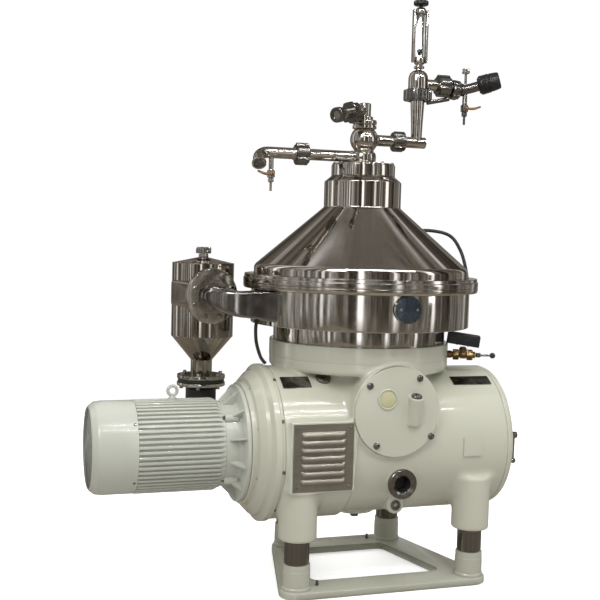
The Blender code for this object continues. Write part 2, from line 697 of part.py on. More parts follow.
def sludge_drum():
    """Catcher round the bowl, with its discharge duct and the duct's flange."""
    wall = 0.005
    outline = [(0.0, DRUM_BOTTOM), (DRUM_R - 0.005, DRUM_BOTTOM), (DRUM_R, DRUM_BOTTOM + 0.005),
               (DRUM_R, DRUM_TOP - GAP), (0.0, DRUM_TOP - GAP)]
    drum = turned("sludge_drum", outline, "polished_steel", sides=FINE)
    drum["many_cuts"] = True
    add(drum, piece("duct_solid", loft(duct_sections(0.0)), "polished_steel"))
    heading = facing(flange_heading())
    add(drum, rod("duct_flange", FLANGE_R, -0.011, -GAP, "polished_steel", FLANGE_AT, heading,
                  MEDIUM, 0.001))
    inner = [(0.0, DRUM_BOTTOM + wall), (DRUM_R - wall, DRUM_BOTTOM + wall),
             (DRUM_R - wall, DRUM_TOP + 0.02), (0.0, DRUM_TOP + 0.02)]
    cut(drum, turned("drum_hollow", inner, "polished_steel", sides=FINE))
    cut(drum, piece("duct_hollow", loft(duct_sections(0.004)), "polished_steel"))
    cut(drum, rod("drum_floor_hole", 0.230, DRUM_BOTTOM - 0.02, DRUM_BOTTOM + 0.02,
                  "polished_steel", sides=FINE))
    angle = math.radians(-88)
    out = Vector((math.cos(angle), math.sin(angle), 0))
    at = out * (DRUM_R + 0.0012) + Vector((0, 0, 0.988))
    add(drum, rod("inspection_neck", 0.043, -0.020, 0.010, "polished_steel", at, facing(out), MEDIUM))
    turned("inspection_cover", [(0.0, 0.0), (0.0465, 0.0), (0.0465, 0.005), (0.0435, 0.007),
                                (0.0, 0.0075)], "polished_steel", at + out * (0.010 + GAP),
           facing(out), MEDIUM)


def clamp_ring():
    low, high, edge = DRUM_TOP + GAP, RING_TOP, 0.003
    sleeve("clamp_ring", RING_R, HOOD_R + 0.0035, low, high, "polished_steel", sides=FINE,
           edge=edge)


def cone_height(radius):
    """Height of the hood's outer cone at a radius."""
    foot_r, foot_z = 0.379, 1.114
    return NECK_BOTTOM - (radius - NECK_R) * (NECK_BOTTOM - foot_z) / (foot_r - NECK_R)


def hood():
    """Conical hood with a rounded foot and a straight neck, open below and at its top."""
    wall = 0.005
    outline = [(HOOD_R - wall, DRUM_TOP + 0.004), (HOOD_R, DRUM_TOP + 0.004),
               (HOOD_R, RING_TOP + 0.010), (HOOD_R - 0.004, 1.106), (0.379, 1.114),
               (NECK_R, NECK_BOTTOM), (NECK_R, NECK_TOP), (CAP_R, CAP_BOTTOM),
               (0.096, CAP_BOTTOM), (0.096, CAP_BOTTOM - wall),
               (CAP_R - 0.004, CAP_BOTTOM - wall - 0.001), (NECK_R - wall, NECK_TOP - 0.001),
               (NECK_R - wall, NECK_BOTTOM - 0.003), (0.377, 1.107), (HOOD_R - wall, 1.097)]
    turned("hood", outline, "polished_steel", sides=FINE)


def hood_cap():
    low, high, wall = CAP_BOTTOM + GAP, CAP_TOP, 0.006
    outline = [(0.096, low), (CAP_R, low), (CAP_R, high - 0.003), (CAP_R - 0.003, high),
               (FEED_R + 0.0015, high), (FEED_R + 0.0015, high - wall), (0.096, high - wall)]
    turned("hood_cap", outline, "polished_steel", sides=MEDIUM)


# ---- cyclone ------------------------------------------------------------------------------
def cyclone_outline(shrink):
    """Outer or inner outline of the cyclone: cone, cylinder and shallow lid."""
    radius, neck = CYCLONE_R - shrink, 0.0396 - shrink
    low = 0.690 if shrink == 0 else 0.660
    lid = 1.137 - shrink
    return [(0.0, low), (neck, low), (neck, 0.757), (radius, 0.846), (radius, 1.116 - shrink),
            (0.016, lid), (0.0, lid)]


def cyclone():
    """Cyclone that slows the sludge, with its tangential inlet and bolted flanges."""
    at = (CYCLONE.x, CYCLONE.y, 0)
    body = turned("cyclone_body", cyclone_outline(0.0), "polished_steel", at, sides=MEDIUM)
    body["many_cuts"] = True
    heading = flange_heading()
    up, across = Vector((0, 0, 1)), Vector((heading.y, -heading.x, 0))
    for name, shrink in (("inlet_solid", 0.0), ("inlet_hollow", 0.003)):
        first = FLANGE_AT + heading * (0.004 if shrink == 0 else -0.01)
        sections = []
        for reach, power in ((0.0, 2), (0.05, 3), (0.12, 8), (0.21, 8)):
            centre = first + heading * reach
            sections.append(squared_circle(centre, across, up, 0.039 - shrink, 0.039 - shrink,
                                           power))
        inlet = piece(name, loft(sections), "polished_steel")
        if shrink == 0:
            add(body, inlet)
            add(body, rod("inlet_flange", FLANGE_R, GAP, 0.011, "polished_steel", FLANGE_AT,
                          facing(heading), MEDIUM, 0.001))
            add(body, rod("outlet_flange", 0.089, 0.687, 0.701, "polished_steel", at,
                          sides=MEDIUM, edge=0.002))
            cut(body, turned("cyclone_hollow", cyclone_outline(0.003), "polished_steel", at,
                             sides=MEDIUM))
        else:
            cut(body, inlet)
    cap = [(0.0, 1.137 + GAP), (0.017, 1.137 + GAP), (0.017, 1.150), (0.0265, 1.151),
           (0.0285, 1.154), (0.0285, 1.171), (0.0265, 1.175), (0.0, 1.175)]
    turned("cyclone_cap", cap, "machined_steel", at, sides=16)
    valve = [(0.040, 0.530), (0.052, 0.530), (0.0565, 0.540), (0.0565, 0.652), (0.050, 0.660),
             (0.089, 0.660), (0.089, 0.674), (0.070, 0.676), (0.070, 0.687 - GAP),
             (0.040, 0.687 - GAP)]
    turned("discharge_valve", valve, "black_rubber", at, sides=MEDIUM)


# ---- product piping -----------------------------------------------------------------------
def hollow_out(body, *tubes):
    """Bore a body along straight lines: each tube is (name, from, to, radius)."""
    for name, start, end, radius in tubes:
        first, last = Vector(start), Vector(end)
        cut(body, rod(name, radius, 0.0, (last - first).length, "polished_steel", first,
                      facing(last - first), COARSE))


def outlet_bodies():
    """Two outlet chambers on the hood's cap, with a pipe stub on each."""
    bore = FEED_R + 0.0015
    low = CAP_TOP + GAP
    lower = [(bore, low), (0.040, low), (0.0445, 1.505), (0.0455, 1.519), (0.0435, 1.531),
             (0.037, 1.5385), (bore, 1.5385)]
    skim = turned("skim_outlet_body", lower, "polished_steel", sides=MEDIUM)
    skim["many_cuts"] = True
    add(skim, rod("skim_stub", PIPE_R, 0.028, -SKIM_NUT_X - GAP, "polished_steel",
                  (0, 0, SKIM_Z), facing((-1, 0, 0)), 12))
    hollow_out(skim, ("skim_bore", (-0.015, 0, SKIM_Z), (-0.30, 0, SKIM_Z), PIPE_R - PIPE_WALL))
    radius, base = 0.0515, 1.5385 + GAP
    upper = [(bore, base), (0.034, base)]
    upper += [point for point in ball_outline(radius, -2, 3, CREAM_Z)]
    upper += [(bore, CREAM_Z + radius * math.sin(3 * math.pi / 8) + 0.001)]
    cream = turned("cream_outlet_body", upper, "polished_steel", sides=MEDIUM)
    add(cream, rod("cream_stub", PIPE_R, 0.028, CREAM_NUT_X - GAP, "polished_steel",
                   (0, 0, CREAM_Z), TO_X, 12))
    hollow_out(cream, ("cream_bore", (0.015, 0, CREAM_Z), (0.20, 0, CREAM_Z),
                       PIPE_R - PIPE_WALL))


def skim_outlet():
    """Skim milk line: union nut, elbow with its ferrule, and a sampling cock under it."""
    begin = Vector((SKIM_NUT_X - GAP, 0, SKIM_Z))
    turn_at = Vector((-0.402, 0.0, SKIM_Z))
    finish = turn_at + Vector((-0.10, -0.66, -0.62)).normalized() * 0.066
    route = rounded([begin, turn_at, finish], 0.045, 4)
    elbow = bent_pipe("skim_outlet_elbow", route, PIPE_R, "polished_steel", 2 * PIPE_WALL, COARSE)
    direction = (finish - turn_at).normalized()
    add(elbow, sleeve("skim_ferrule", 0.0262, PIPE_R - PIPE_WALL, -0.014, 0.0, "polished_steel",
                      finish, facing(direction), 12, 0.002))
    valve_x = -0.352
    add(elbow, cock("skim_cock", Vector((valve_x, 0, SKIM_Z - PIPE_R + 0.002))))
    slotted_nut("skim_union_nut", 0.040, PIPE_R + 0.001, 0.046, "dark_steel",
                (SKIM_NUT_X, 0, SKIM_Z), TO_X)
    lever("skim_sample_lever", Vector((valve_x, -0.0155 - GAP, 1.440)), -1)


def cock(name, top):
    """Small sampling cock that hangs from a pipe, down to its spout."""
    outline = [(0.0, -0.118), (0.0045, -0.118), (0.0045, -0.088), (0.0105, -0.086),
               (0.0105, -0.072), (0.0145, -0.070), (0.0145, -0.046), (0.009, -0.044),
               (0.009, 0.0), (0.0, 0.0)]
    return turned(name, outline, "machined_steel", top, sides=COARSE)


def lever(name, pivot, side):
    """Cock lever on a pin that faces the front, pointing left or right."""
    hub = rod(name, 0.0075, 0.0, 0.010, "amber_plastic", pivot, TO_FRONT, 12)
    root, tip = pivot + Vector((0, -0.0055, 0)), pivot + Vector((side * 0.056, -0.008, 0.010))
    route = smooth_route([root, root.lerp(tip, 0.5) + Vector((0, 0, -0.004)), tip], 2)
    add(hub, bent_pipe(f"{name}_arm", route, 0.0048, "amber_plastic", sides=8))


def cream_outlet():
    """Cream line: tee pipe with its riser, union nut, and the regulating valve's nut."""
    end = RISER_X + 0.033
    pipe = rod("cream_riser_pipe", PIPE_R, CREAM_NUT_X + GAP, end, "polished_steel",
               (0, 0, CREAM_Z), TO_X, 12, 0.002)
    riser = [(0.0, CREAM_Z - 0.004), (PIPE_R - 0.001, CREAM_Z - 0.004), (PIPE_R + 0.001, 1.62),
             (0.026, 1.735), (0.026, NUT_TOP - 0.020), (0.0, NUT_TOP - 0.020)]
    add(pipe, turned("riser_solid", riser, "polished_steel", (RISER_X, 0, 0), sides=16))
    inner = PIPE_R - PIPE_WALL
    hollow_out(pipe, ("riser_bore", (RISER_X, 0, CREAM_Z - 0.003), (RISER_X, 0, 1.80), inner),
               ("tee_bore", (CREAM_NUT_X - 0.02, 0, CREAM_Z), (RISER_X + 0.006, 0, CREAM_Z),
                inner - 0.0007))
    slotted_nut("cream_union_nut", 0.0375, PIPE_R + 0.001, 0.044, "dark_steel",
                (CREAM_NUT_X, 0, CREAM_Z), TO_X)
    height = NUT_TOP - NUT_LOW
    nut = slotted_nut("regulating_valve_nut", 0.053, 0.0310, height, "dark_steel",
                      (RISER_X, 0, (NUT_TOP + NUT_LOW) / 2), (0, 0, 0))
    lug_at = Vector((RISER_X + 0.083, 0.0, NUT_LOW + 0.006))
    add(nut, box("nut_lug", (0.090, 0.020, 0.018), "dark_steel", lug_at, (0, -0.22, 0), 0.004))


def regulating_valve():
    """Domed back-pressure valve on the riser, with its side outlet."""
    low = NUT_TOP - 0.020 + GAP
    outline = [(0.0, low), (0.0285, low), (0.0285, NUT_TOP), (0.0365, NUT_TOP + GAP),
               (0.0365, 1.816), (0.0345, 1.829), (0.029, 1.839), (0.020, 1.846),
               (0.010, 1.849), (0.010, 1.855), (0.0, 1.855)]
    body = turned("regulating_valve", outline, "polished_steel", (RISER_X, 0, 0), sides=MEDIUM)
    add(body, rod("side_outlet", PIPE_R, 0.0, 0.086, "polished_steel", (RISER_X, 0, METER_Z),
                  TO_X, 12))
    hollow_out(body, ("valve_bore", (RISER_X, 0, low - 0.01), (RISER_X, 0, METER_Z + 0.01),
                      0.019),
               ("side_bore", (RISER_X - 0.006, 0, METER_Z), (RISER_X + 0.12, 0, METER_Z), 0.017))


def metered_outlet():
    """Cream discharge: union nuts, sampling tee with its cock, and a hose coupling."""
    start = Vector((RISER_X + 0.087, 0, METER_Z))
    route = smooth_route([start, start + Vector((0.04, 0, 0)), Vector((0.372, 0.004, 1.787)),
                          Vector((0.415, -0.002, 1.795)), Vector((0.447, -0.018, 1.805))], 2)
    pipe = bent_pipe("metered_outlet_pipe", route, 0.0185, "dark_steel", PIPE_WALL, COARSE)
    tee_x = 0.402
    add(pipe, cock("cream_cock", Vector((tee_x, 0, METER_Z - PIPE_R))))
    slotted_nut("metered_union_nut", 0.0410, PIPE_R + 0.001, 0.047, "dark_steel",
                (start.x + 0.014, 0, METER_Z), TO_X)
    heading = (route[-1] - route[-2]).normalized()
    end = route[-1] + heading * GAP
    coupling = [(0.010, 0.0), (0.026, 0.0), (0.034, 0.007), (0.0365, 0.012), (0.0365, 0.040),
                (0.033, 0.044), (0.0335, 0.046), (0.0335, 0.062), (0.031, 0.078), (0.027, 0.082),
                (0.018, 0.082), (0.018, 0.070), (0.010, 0.070)]
    turned("hose_coupling", coupling, "black_rubber", end, facing(heading), 16)
    stem = [(0.0, 0.0), (0.0048, 0.0), (0.0048, 0.036), (0.0135, 0.037), (0.0145, 0.040),
            (0.0145, 0.053), (0.0130, 0.056), (0.0, 0.056)]
    turned("cream_sample_knob", stem, "machined_steel", (tee_x + 0.001, 0, METER_Z + 0.0152),
           sides=COARSE)
    lever("cream_sample_lever", Vector((tee_x, -0.0155 - GAP, METER_Z - PIPE_R - 0.059)), 1)


def flow_meter():
    """Sight tube with a float, in a frame with two side rails, and a throttle knob on top."""
    at, low = (RISER_X + 0.002, 0, 0), 1.855 + GAP
    foot = [(0.0, low), (0.0195, low), (0.0195, 1.863), (0.0125, 1.866), (0.0175, 1.874),
            (0.0200, 1.888), (0.0200, 1.8965), (0.0, 1.8965)]
    frame = turned("flow_meter_frame", foot, "polished_steel", at, sides=16)
    head = [(0.0, 2.053), (0.0200, 2.053), (0.0200, 2.068), (0.0150, 2.077), (0.0, 2.077)]
    add(frame, turned("meter_head", head, "polished_steel", at, sides=16))
    for side, name in ((-1, "left"), (1, "right")):
        rail_at = (at[0] + side * 0.0225, 0, (1.876 + 2.070) / 2)
        add(frame, box(f"meter_rail_{name}", (0.0085, 0.016, 0.194), "polished_steel", rail_at))
    sleeve("flow_meter_glass", 0.0150, 0.0125, 1.8965 + GAP, 2.053 - GAP, "clear_glass", at,
           sides=16)
    bob = [(0.0, 1.905), (0.006, 1.905), (0.010, 1.922), (0.010, 1.926), (0.0, 1.926)]
    turned("flow_meter_float", bob, "black_plastic", at, sides=16)
    knob = [(0.0, 2.077 + GAP), (0.006, 2.077 + GAP), (0.006, 2.086), (0.024, 2.087),
            (0.0275, 2.091), (0.0275, 2.098), (0.024, 2.103), (0.0, 2.103)]
    turned("flow_meter_knob", knob, "black_plastic", at, sides=16)


def feed_line():
    """Feed pipe down through both outlet chambers to the bowl, with its paring disc."""
    disc_low, disc_r = 1.350, 0.044
    outline = [(0.0125, 1.200), (0.0150, 1.200), (0.0150, disc_low), (disc_r, disc_low),
               (disc_r, disc_low + 0.008), (FEED_R, disc_low + 0.012), (FEED_R, 1.632),
               (0.0440, 1.632), (0.0450, 1.636), (0.0450, 1.648), (0.0430, 1.652),
               (0.0306, 1.652), (0.0306, 1.664), (FEED_R, 1.667), (FEED_R, 1.711),
               (FEED_R - 0.003, 1.714), (0.0, 1.714), (0.0, 1.708), (0.0125, 1.708)]
    feed = turned("feed_pipe", outline, "polished_steel", sides=16)
    feed["many_cuts"] = True
    start, end = Vector((0, 0, 1.689)), Vector((-0.152, -0.118, 1.650))
    heading = (end - start).normalized()
    reach = (end - start).length
    add(feed, rod("feed_branch", PIPE_R - 0.002, 0.018, reach, "polished_steel", start,
                  facing(heading), 12))
    add(feed, rod("feed_ferrule", 0.0270, reach - 0.028, reach + 0.004, "dark_steel", start,
                  facing(heading), 12, 0.003))
    add(feed, rod("feed_union_nut", 0.0385, 0.078, 0.118, "dark_steel", start, facing(heading),
                  12, 0.003))
    hollow_out(feed, ("feed_bore", start + heading * 0.010, end + heading * 0.02, 0.0135))


# ---- hoses and operating water ------------------------------------------------------------
def hoses():
    """Flushing hoses, each held at both ends."""
    hose("duct_flush_hose", [(-0.418, -0.100, 0.9325), (-0.4220, -0.098, 0.900),
                             (-0.4180, -0.096, 0.850), (-0.4020, -0.096, 0.800),
                             (-0.3840, -0.098, 0.7755)], 0.006, "black_rubber")
    out = 0.262
    top = cone_height(out) + 0.0105
    angle = math.radians(25)
    start = Vector((out * math.cos(angle), out * math.sin(angle), top))
    lift = Vector((0.66 * math.cos(angle), 0.66 * math.sin(angle), 0.75))
    hose("hood_flush_hose", [start, start + lift * 0.030, (0.330, 0.090, 1.258),
                             (0.395, 0.068, 1.240), (0.431, 0.050, 1.187), (0.446, 0.030, 1.120),
                             (0.450, 0.020, 1.060), (0.440, 0.015, 0.990), (0.4075, 0.012, 0.970)],
         0.0065, "black_rubber")


def operating_water():
    """Solenoid box over a brass manifold with a stop cock, at the right of the skirt."""
    angle = math.radians(-24)
    out = Vector((math.cos(angle), math.sin(angle), 0))
    turn = (0, 0.13, angle)
    middle = out * 0.385 + Vector((0, 0, 0.862))
    box("water_control_box", (0.118, 0.056, 0.044), "black_plastic", middle, turn, 0.003)
    start = out * (TOWER_R + 0.0012) + Vector((0, 0, 0.806))
    manifold = rod("water_manifold", 0.011, 0.0, 0.100, "brass", start, facing(out), 12)
    for name, reach in (("manifold_nut_1", 0.030), ("manifold_nut_2", 0.080)):
        add(manifold, rod(name, 0.018, -0.011, 0.011, "brass", start + out * reach, facing(out), 6))
    add(manifold, rod("manifold_port", 0.0080, 0.0, 0.0290, "brass", start + out * 0.055,
                      (0, 0, 0), 12))
    stem, reach = start + out * 0.1105, 0.052
    handle = rod("water_cock_lever", 0.0095, -0.008, 0.008, "dark_steel", stem, sides=12)
    add(handle, rod("cock_arm", 0.0042, 0.004, reach, "dark_steel", stem, facing(out), 8))
    add(handle, turned("cock_ball", ball_outline(0.0095), "dark_steel", stem + out * reach,
                       sides=8))


# ---- bowl and drive -----------------------------------------------------------------------
def toothed(name, teeth, root, tip, low, high, finish, at=(0, 0, 0), turn=(0, 0, 0)):
    """Straight-toothed wheel without a bore."""
    outline = []
    for tooth in range(teeth):
        for part, radius in ((0.0, root), (0.45, root), (0.6, tip), (0.85, tip)):
            angle = 2.0 * math.pi * (tooth + part) / teeth
            outline.append((radius * math.cos(angle), radius * math.sin(angle)))
    return prism(name, outline, low, high, finish, at, turn)


def spindle():
    outline = [(0.0, SPINDLE_LOW), (0.011, SPINDLE_LOW), (0.0125, 0.304), (0.0125, 0.560),
               (0.022, 0.580), (0.022, 0.890), (0.020, 0.900), (0.020, SPINDLE_TOP),
               (0.0, SPINDLE_TOP)]
    shaft = turned("bowl_spindle", outline, "machined_steel", sides=24)
    pinion = toothed("spindle_pinion", 8, 0.0135, 0.0162, SHAFT_Z - 0.036, SHAFT_Z + 0.036,
                     "machined_steel")
    add(shaft, pinion)


def bowl():
    """Rotating bowl: body, conical lid, lock ring and the disc stack on its distributor."""
    hub = 0.020 + 0.0005
    body = [(hub, 0.925), (0.060, 0.925), (0.200, 0.935), (0.240, 0.950), (0.250, 0.965),
            (0.250, 1.075), (0.232, 1.075), (0.232, 0.985), (0.215, 0.968), (0.060, 0.958),
            (hub, 0.958)]
    turned("bowl_body", body, "machined_steel", sides=MEDIUM)
    lid = [(0.205, 1.060), (0.2312, 1.060), (0.2312, 1.098), (0.222, 1.104), (0.215, 1.122),
           (0.062, 1.325), (0.062, 1.372), (0.052, 1.372), (0.052, 1.322), (0.203, 1.120),
           (0.205, 1.105)]
    turned("bowl_lid", lid, "machined_steel", sides=MEDIUM)
    ring = [(0.2508, 1.045), (0.268, 1.045), (0.270, 1.050), (0.270, 1.102), (0.262, 1.112),
            (0.228, 1.112), (0.228, 1.106), (0.2508, 1.106)]
    turned("bowl_lock_ring", ring, "dark_steel", sides=MEDIUM)
    discs, pitch, thick, slope, rim, core = 4, 0.030, 0.005, 0.58, 0.195, 0.075
    stack = [(0.044, 1.004), (0.198, 1.004), (0.198, 1.008)]
    for disc in range(discs):
        outer_z = 1.014 + disc * pitch
        inner_z = outer_z + (rim - core) * slope
        stack += [(core, inner_z), (rim, outer_z), (rim, outer_z + thick),
                  (core, inner_z + thick)]
    top = 1.014 + (discs - 1) * pitch + (rim - core) * slope + thick
    stack += [(0.050, top + 0.02), (0.048, 1.300), (0.044, 1.300)]
    turned("disc_stack", stack, "polished_steel", sides=16)


def sliding_piston():
    """Bottom valve of the bowl, down on its stop with the sludge ports open."""
    outline = [(0.045, 0.962), (0.205, 0.972), (0.222, 0.984), (0.222, 0.992), (0.203, 0.982),
               (0.045, 0.972)]
    turned("sliding_piston", outline, "machined_steel", sides=MEDIUM)


def drive_shaft():
    """Horizontal shaft with its brake drum, bronze gear wheel and clutch drum."""
    axis = (0, SHAFT_Y, SHAFT_Z)
    left, right, drum_x, drum_r = -0.345, 0.425, 0.385, 0.120
    outline = [(0.0, left), (SHAFT_R, left), (SHAFT_R, drum_x), (drum_r - 0.004, drum_x),
               (drum_r, drum_x + 0.004), (drum_r, drum_x + 0.030), (drum_r - 0.010, drum_x + 0.030),
               (drum_r - 0.010, drum_x + 0.008), (SHAFT_R, drum_x + 0.008), (SHAFT_R, right),
               (0.0, right)]
    turned("drive_shaft", outline, "machined_steel", axis, TO_X, 24)
    wheel = toothed("gear_wheel", 36, 0.0415, 0.0450, -0.014, 0.014, "bronze", axis, TO_X)
    cut(wheel, rod("wheel_bore", SHAFT_R + 0.0005, -0.05, 0.05, "bronze", axis, TO_X, 24))
    drum = [(SHAFT_R + 0.0005, -0.343), (SHAFT_R + 0.0005, -0.300), (0.034, -0.300),
            (0.034, -0.334), (0.118, -0.334), (0.118, -0.405), (0.110, -0.405), (0.110, -0.343)]
    turned("clutch_drum", drum, "cast_iron", axis, TO_X, MEDIUM)


def motor_rotor():
    """Motor shaft with its rotor core, cooling fan and the shoes of the starting clutch."""
    axis = (0, SHAFT_Y, SHAFT_Z)
    shaft_r = 0.019
    outline = [(0.0, -0.930), (shaft_r, -0.930), (shaft_r, -0.800), (0.092, -0.800),
               (0.092, -0.600), (shaft_r, -0.600), (shaft_r, -0.350), (0.0, -0.350)]
    rotor = turned("motor_rotor", outline, "machined_steel", axis, TO_X, 24)
    add(rotor, toothed("fan_blades", 6, 0.050, 0.130, -0.900, -0.868, "black_plastic", axis,
                       TO_X))
    add(rotor, toothed("clutch_shoes", 4, 0.060, 0.104, -0.395, -0.352, "cast_iron", axis, TO_X))


def build():
    clear_scene()
    base_frame()
    foot_dampers()
    machine_housing()
    gear_cover()
    louvre_panel()
    oil_port()
    end_cover()
    brake_lever()
    drive_bell()
    motor()
    drum_skirt()
    sludge_drum()
    clamp_ring()
    hood()
    hood_cap()
    cyclone()
    outlet_bodies()
    skim_outlet()
    cream_outlet()
    regulating_valve()
    metered_outlet()
    flow_meter()
    feed_line()
    hoses()
    operating_water()
    spindle()
    bowl()
    sliding_piston()
    drive_shaft()
    motor_rotor()


build()
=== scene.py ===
"""Looks of a disc-stack cream separator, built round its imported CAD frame.

Metres, +Z up, the front of the machine faces -Y and the motor is at -X. Places are measured
from the point on the floor under the bowl's axis, as in the CAD model.
"""
import math

import bmesh
import bpy
import numpy as np
from mathutils import Matrix, Quaternion, Vector


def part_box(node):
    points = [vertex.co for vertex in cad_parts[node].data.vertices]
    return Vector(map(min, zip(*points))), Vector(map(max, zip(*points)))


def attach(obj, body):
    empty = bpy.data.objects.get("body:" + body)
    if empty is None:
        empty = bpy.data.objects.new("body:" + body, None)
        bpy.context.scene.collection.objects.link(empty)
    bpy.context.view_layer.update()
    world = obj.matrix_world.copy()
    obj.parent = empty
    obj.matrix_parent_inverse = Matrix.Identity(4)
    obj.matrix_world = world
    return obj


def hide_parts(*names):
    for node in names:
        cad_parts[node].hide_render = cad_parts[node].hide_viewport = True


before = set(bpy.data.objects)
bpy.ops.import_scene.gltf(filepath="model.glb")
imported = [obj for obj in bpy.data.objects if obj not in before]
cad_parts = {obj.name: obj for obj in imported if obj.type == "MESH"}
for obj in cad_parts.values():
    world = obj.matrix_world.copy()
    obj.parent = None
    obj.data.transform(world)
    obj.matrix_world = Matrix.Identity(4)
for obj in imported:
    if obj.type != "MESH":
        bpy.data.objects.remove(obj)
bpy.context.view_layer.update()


# ---- places and sizes read from the frame --------------------------------------------------
def middle(node):
    low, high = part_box(node)
    return (low + high) / 2


AXIS = Vector((middle("clamp_ring").x, 0.0, 0.0))        # foot of the bowl's axis
SHAFT_Y, SHAFT_Z = middle("end_cover").y, middle("end_cover").z
SHAFT_AT = Vector((0.0, SHAFT_Y, SHAFT_Z))
X, Y, Z = Vector((1, 0, 0)), Vector((0, 1, 0)), Vector((0, 0, 1))
FRONT = -Y


def span(node, axis):
    """Lowest and highest coordinate of a CAD node, measured from the bowl's axis."""
    low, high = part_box(node)
    return low[axis] - AXIS[axis], high[axis] - AXIS[axis]


# ---- materials -----------------------------------------------------------------------------
class Graph:
    """A node tree under construction: make() adds a node and wires its inputs."""

    def __init__(self, tree):
        self.tree = tree

    def make(self, kind, inputs=None, **settings):
        made = self.tree.nodes.new(kind)
        for key, value in settings.items():
            setattr(made, key, value)
        for key, value in (inputs or {}).items():
            self.feed(made.inputs[key], value)
        return made

    def feed(self, socket, value):
        if isinstance(value, bpy.types.NodeSocket):
            self.tree.links.new(value, socket)
        else:
            socket.default_value = value

    def ramp(self, value, low, high, start, end):
        """Value remapped from [low, high] to [start, end]."""
        return self.make("ShaderNodeMapRange", {"Value": value, "From Min": low, "From Max": high,
                                                "To Min": start, "To Max": end}).outputs[0]

    def mix(self, share, first, second):
        made = self.make("ShaderNodeMix", data_type="RGBA")
        for socket, value in zip((made.inputs[0], made.inputs[6], made.inputs[7]),
                                 (share, first, second)):
            self.feed(socket, value)
        return made.outputs[2]

    def math(self, operation, first, second=0.0):
        return self.make("ShaderNodeMath", {0: first, 1: second}, operation=operation).outputs[0]


class Look(Graph):
    """A node material on one Principled shader, with the patterns that the finishes share."""

    def __init__(self, name):
        self.material = bpy.data.materials.new(name)
        self.material.use_nodes = True
        super().__init__(self.material.node_tree)
        self.shader = self.tree.nodes["Principled BSDF"]
        self.place = self.make("ShaderNodeTexCoord").outputs["Object"]

    def set(self, **values):
        for key, value in values.items():
            self.feed(self.shader.inputs[key.replace("_", " ")], value)

    def noise(self, scale, detail=4.0, at=None, rough=0.55):
        return self.make("ShaderNodeTexNoise", {"Vector": at or self.place, "Scale": scale,
                                                "Detail": detail, "Roughness": rough}).outputs[0]

    def bump(self, height, distance, strength=1.0, under=None):
        inputs = {"Height": height, "Distance": distance, "Strength": strength}
        if under:
            inputs["Normal"] = under
        return self.make("ShaderNodeBump", inputs).outputs[0]

    def crevices(self, low=0.38, high=0.46):
        """1 in the hollows of the mesh, falling to 0 on flat places."""
        point = self.make("ShaderNodeNewGeometry").outputs["Pointiness"]
        return self.ramp(point, low, high, 1.0, 0.0)

    def round_axis(self, around, rise):
        """Place as angle round the piece's own Z axis and height, each scaled."""
        parts = self.make("ShaderNodeSeparateXYZ", {0: self.place}).outputs
        angle = self.math("ARCTAN2", parts[1], parts[0])
        return self.make("ShaderNodeCombineXYZ", {
            0: self.math("MULTIPLY", angle, around), 1: 0.0,
            2: self.math("MULTIPLY", parts[2], rise)}).outputs[0]


def rgb(red, green, blue):
    return (red, green, blue, 1.0)


def enamel(name, light, dark, rough, coat=0.5, swell=0.0012):
    """Sprayed machine enamel: faint tone clouds, orange peel, painted shade in the hollows."""
    look = Look(name)
    clouds = look.ramp(look.noise(3.0, 2.0), 0.35, 0.68, 0.0, 1.0)
    tone = look.mix(clouds, light, dark)
    # Painted shade: hollows of the mesh darkened towards dark brown, broken into patches by noise.
    shade_patches = look.ramp(look.noise(38.0, 5.0), 0.4, 0.75, 0.2, 0.8)
    hollow_shade = look.math("MULTIPLY", look.crevices(), shade_patches)
    tone = look.mix(look.math("MULTIPLY", hollow_shade, 0.7), tone, rgb(0.24, 0.20, 0.13))
    waves = look.bump(look.noise(11.0, 2.0), swell, 0.22)
    peel = look.bump(look.noise(420.0, 2.0), 0.00010, 0.30, waves)
    look.set(Base_Color=tone, Roughness=look.ramp(look.noise(60.0), 0.3, 0.7, rough, rough + 0.08),
             Normal=peel, Coat_Weight=coat, Coat_Roughness=0.04)
    return look.material


def turned_steel(name, light, dark, rough, aniso=0.7, grain=900.0):
    """Steel finished round the piece's own axis: fine rings, painted reflection streaks round the axis,
    hazy smears.
    """
    look = Look(name)
    # Painted reflection: light and dark bands by angle round the axis, mixed with hazy smears of tone.
    painted_reflection_streaks = look.noise(1.0, 3.0, look.round_axis(5.5, 0.6))
    smears = look.noise(7.0, 5.0)
    share = look.ramp(look.math("ADD", look.math("MULTIPLY", painted_reflection_streaks, 0.6),
                                look.math("MULTIPLY", smears, 0.4)), 0.36, 0.62, 0.0, 1.0)
    rings = look.noise(1.0, 2.0, look.round_axis(0.4, grain))
    look.set(Base_Color=look.mix(share, dark, light), Metallic=1.0, Anisotropic=aniso,
             Anisotropic_Rotation=0.25,
             Roughness=look.ramp(look.noise(30.0, 6.0), 0.3, 0.7, rough * 0.7, rough * 1.35),
             Normal=look.bump(rings, 0.00001, 0.35),
             Tangent=look.make("ShaderNodeTangent", direction_type="RADIAL", axis="Z").outputs[0])
    return look.material


def cast_metal(name, light, dark, rough, metallic, pitting=0.0004):
    """Metal without a grain direction: rough casting, tarnished fitting or polished pipe."""
    look = Look(name)
    share = look.ramp(look.noise(45.0, 6.0), 0.35, 0.65, 0.0, 1.0)
    pits = look.bump(look.noise(260.0, 4.0), pitting, 0.7)
    look.set(Base_Color=look.mix(share, light, dark), Metallic=metallic, Normal=pits,
             Roughness=look.ramp(look.noise(90.0), 0.3, 0.7, rough, 1.6 * rough + 0.04))
    return look.material


def moulded(name, light, dark, rough):
    """Rubber or plastic with a fine moulded grain and dusty patches."""
    look = Look(name)
    dust = look.ramp(look.noise(18.0, 6.0), 0.45, 0.75, 0.0, 1.0)
    look.set(Base_Color=look.mix(dust, dark, light), Normal=look.bump(look.noise(700.0), 0.0002, 0.5),
             Roughness=look.ramp(look.noise(50.0), 0.3, 0.7, rough, rough + 0.15))
    return look.material


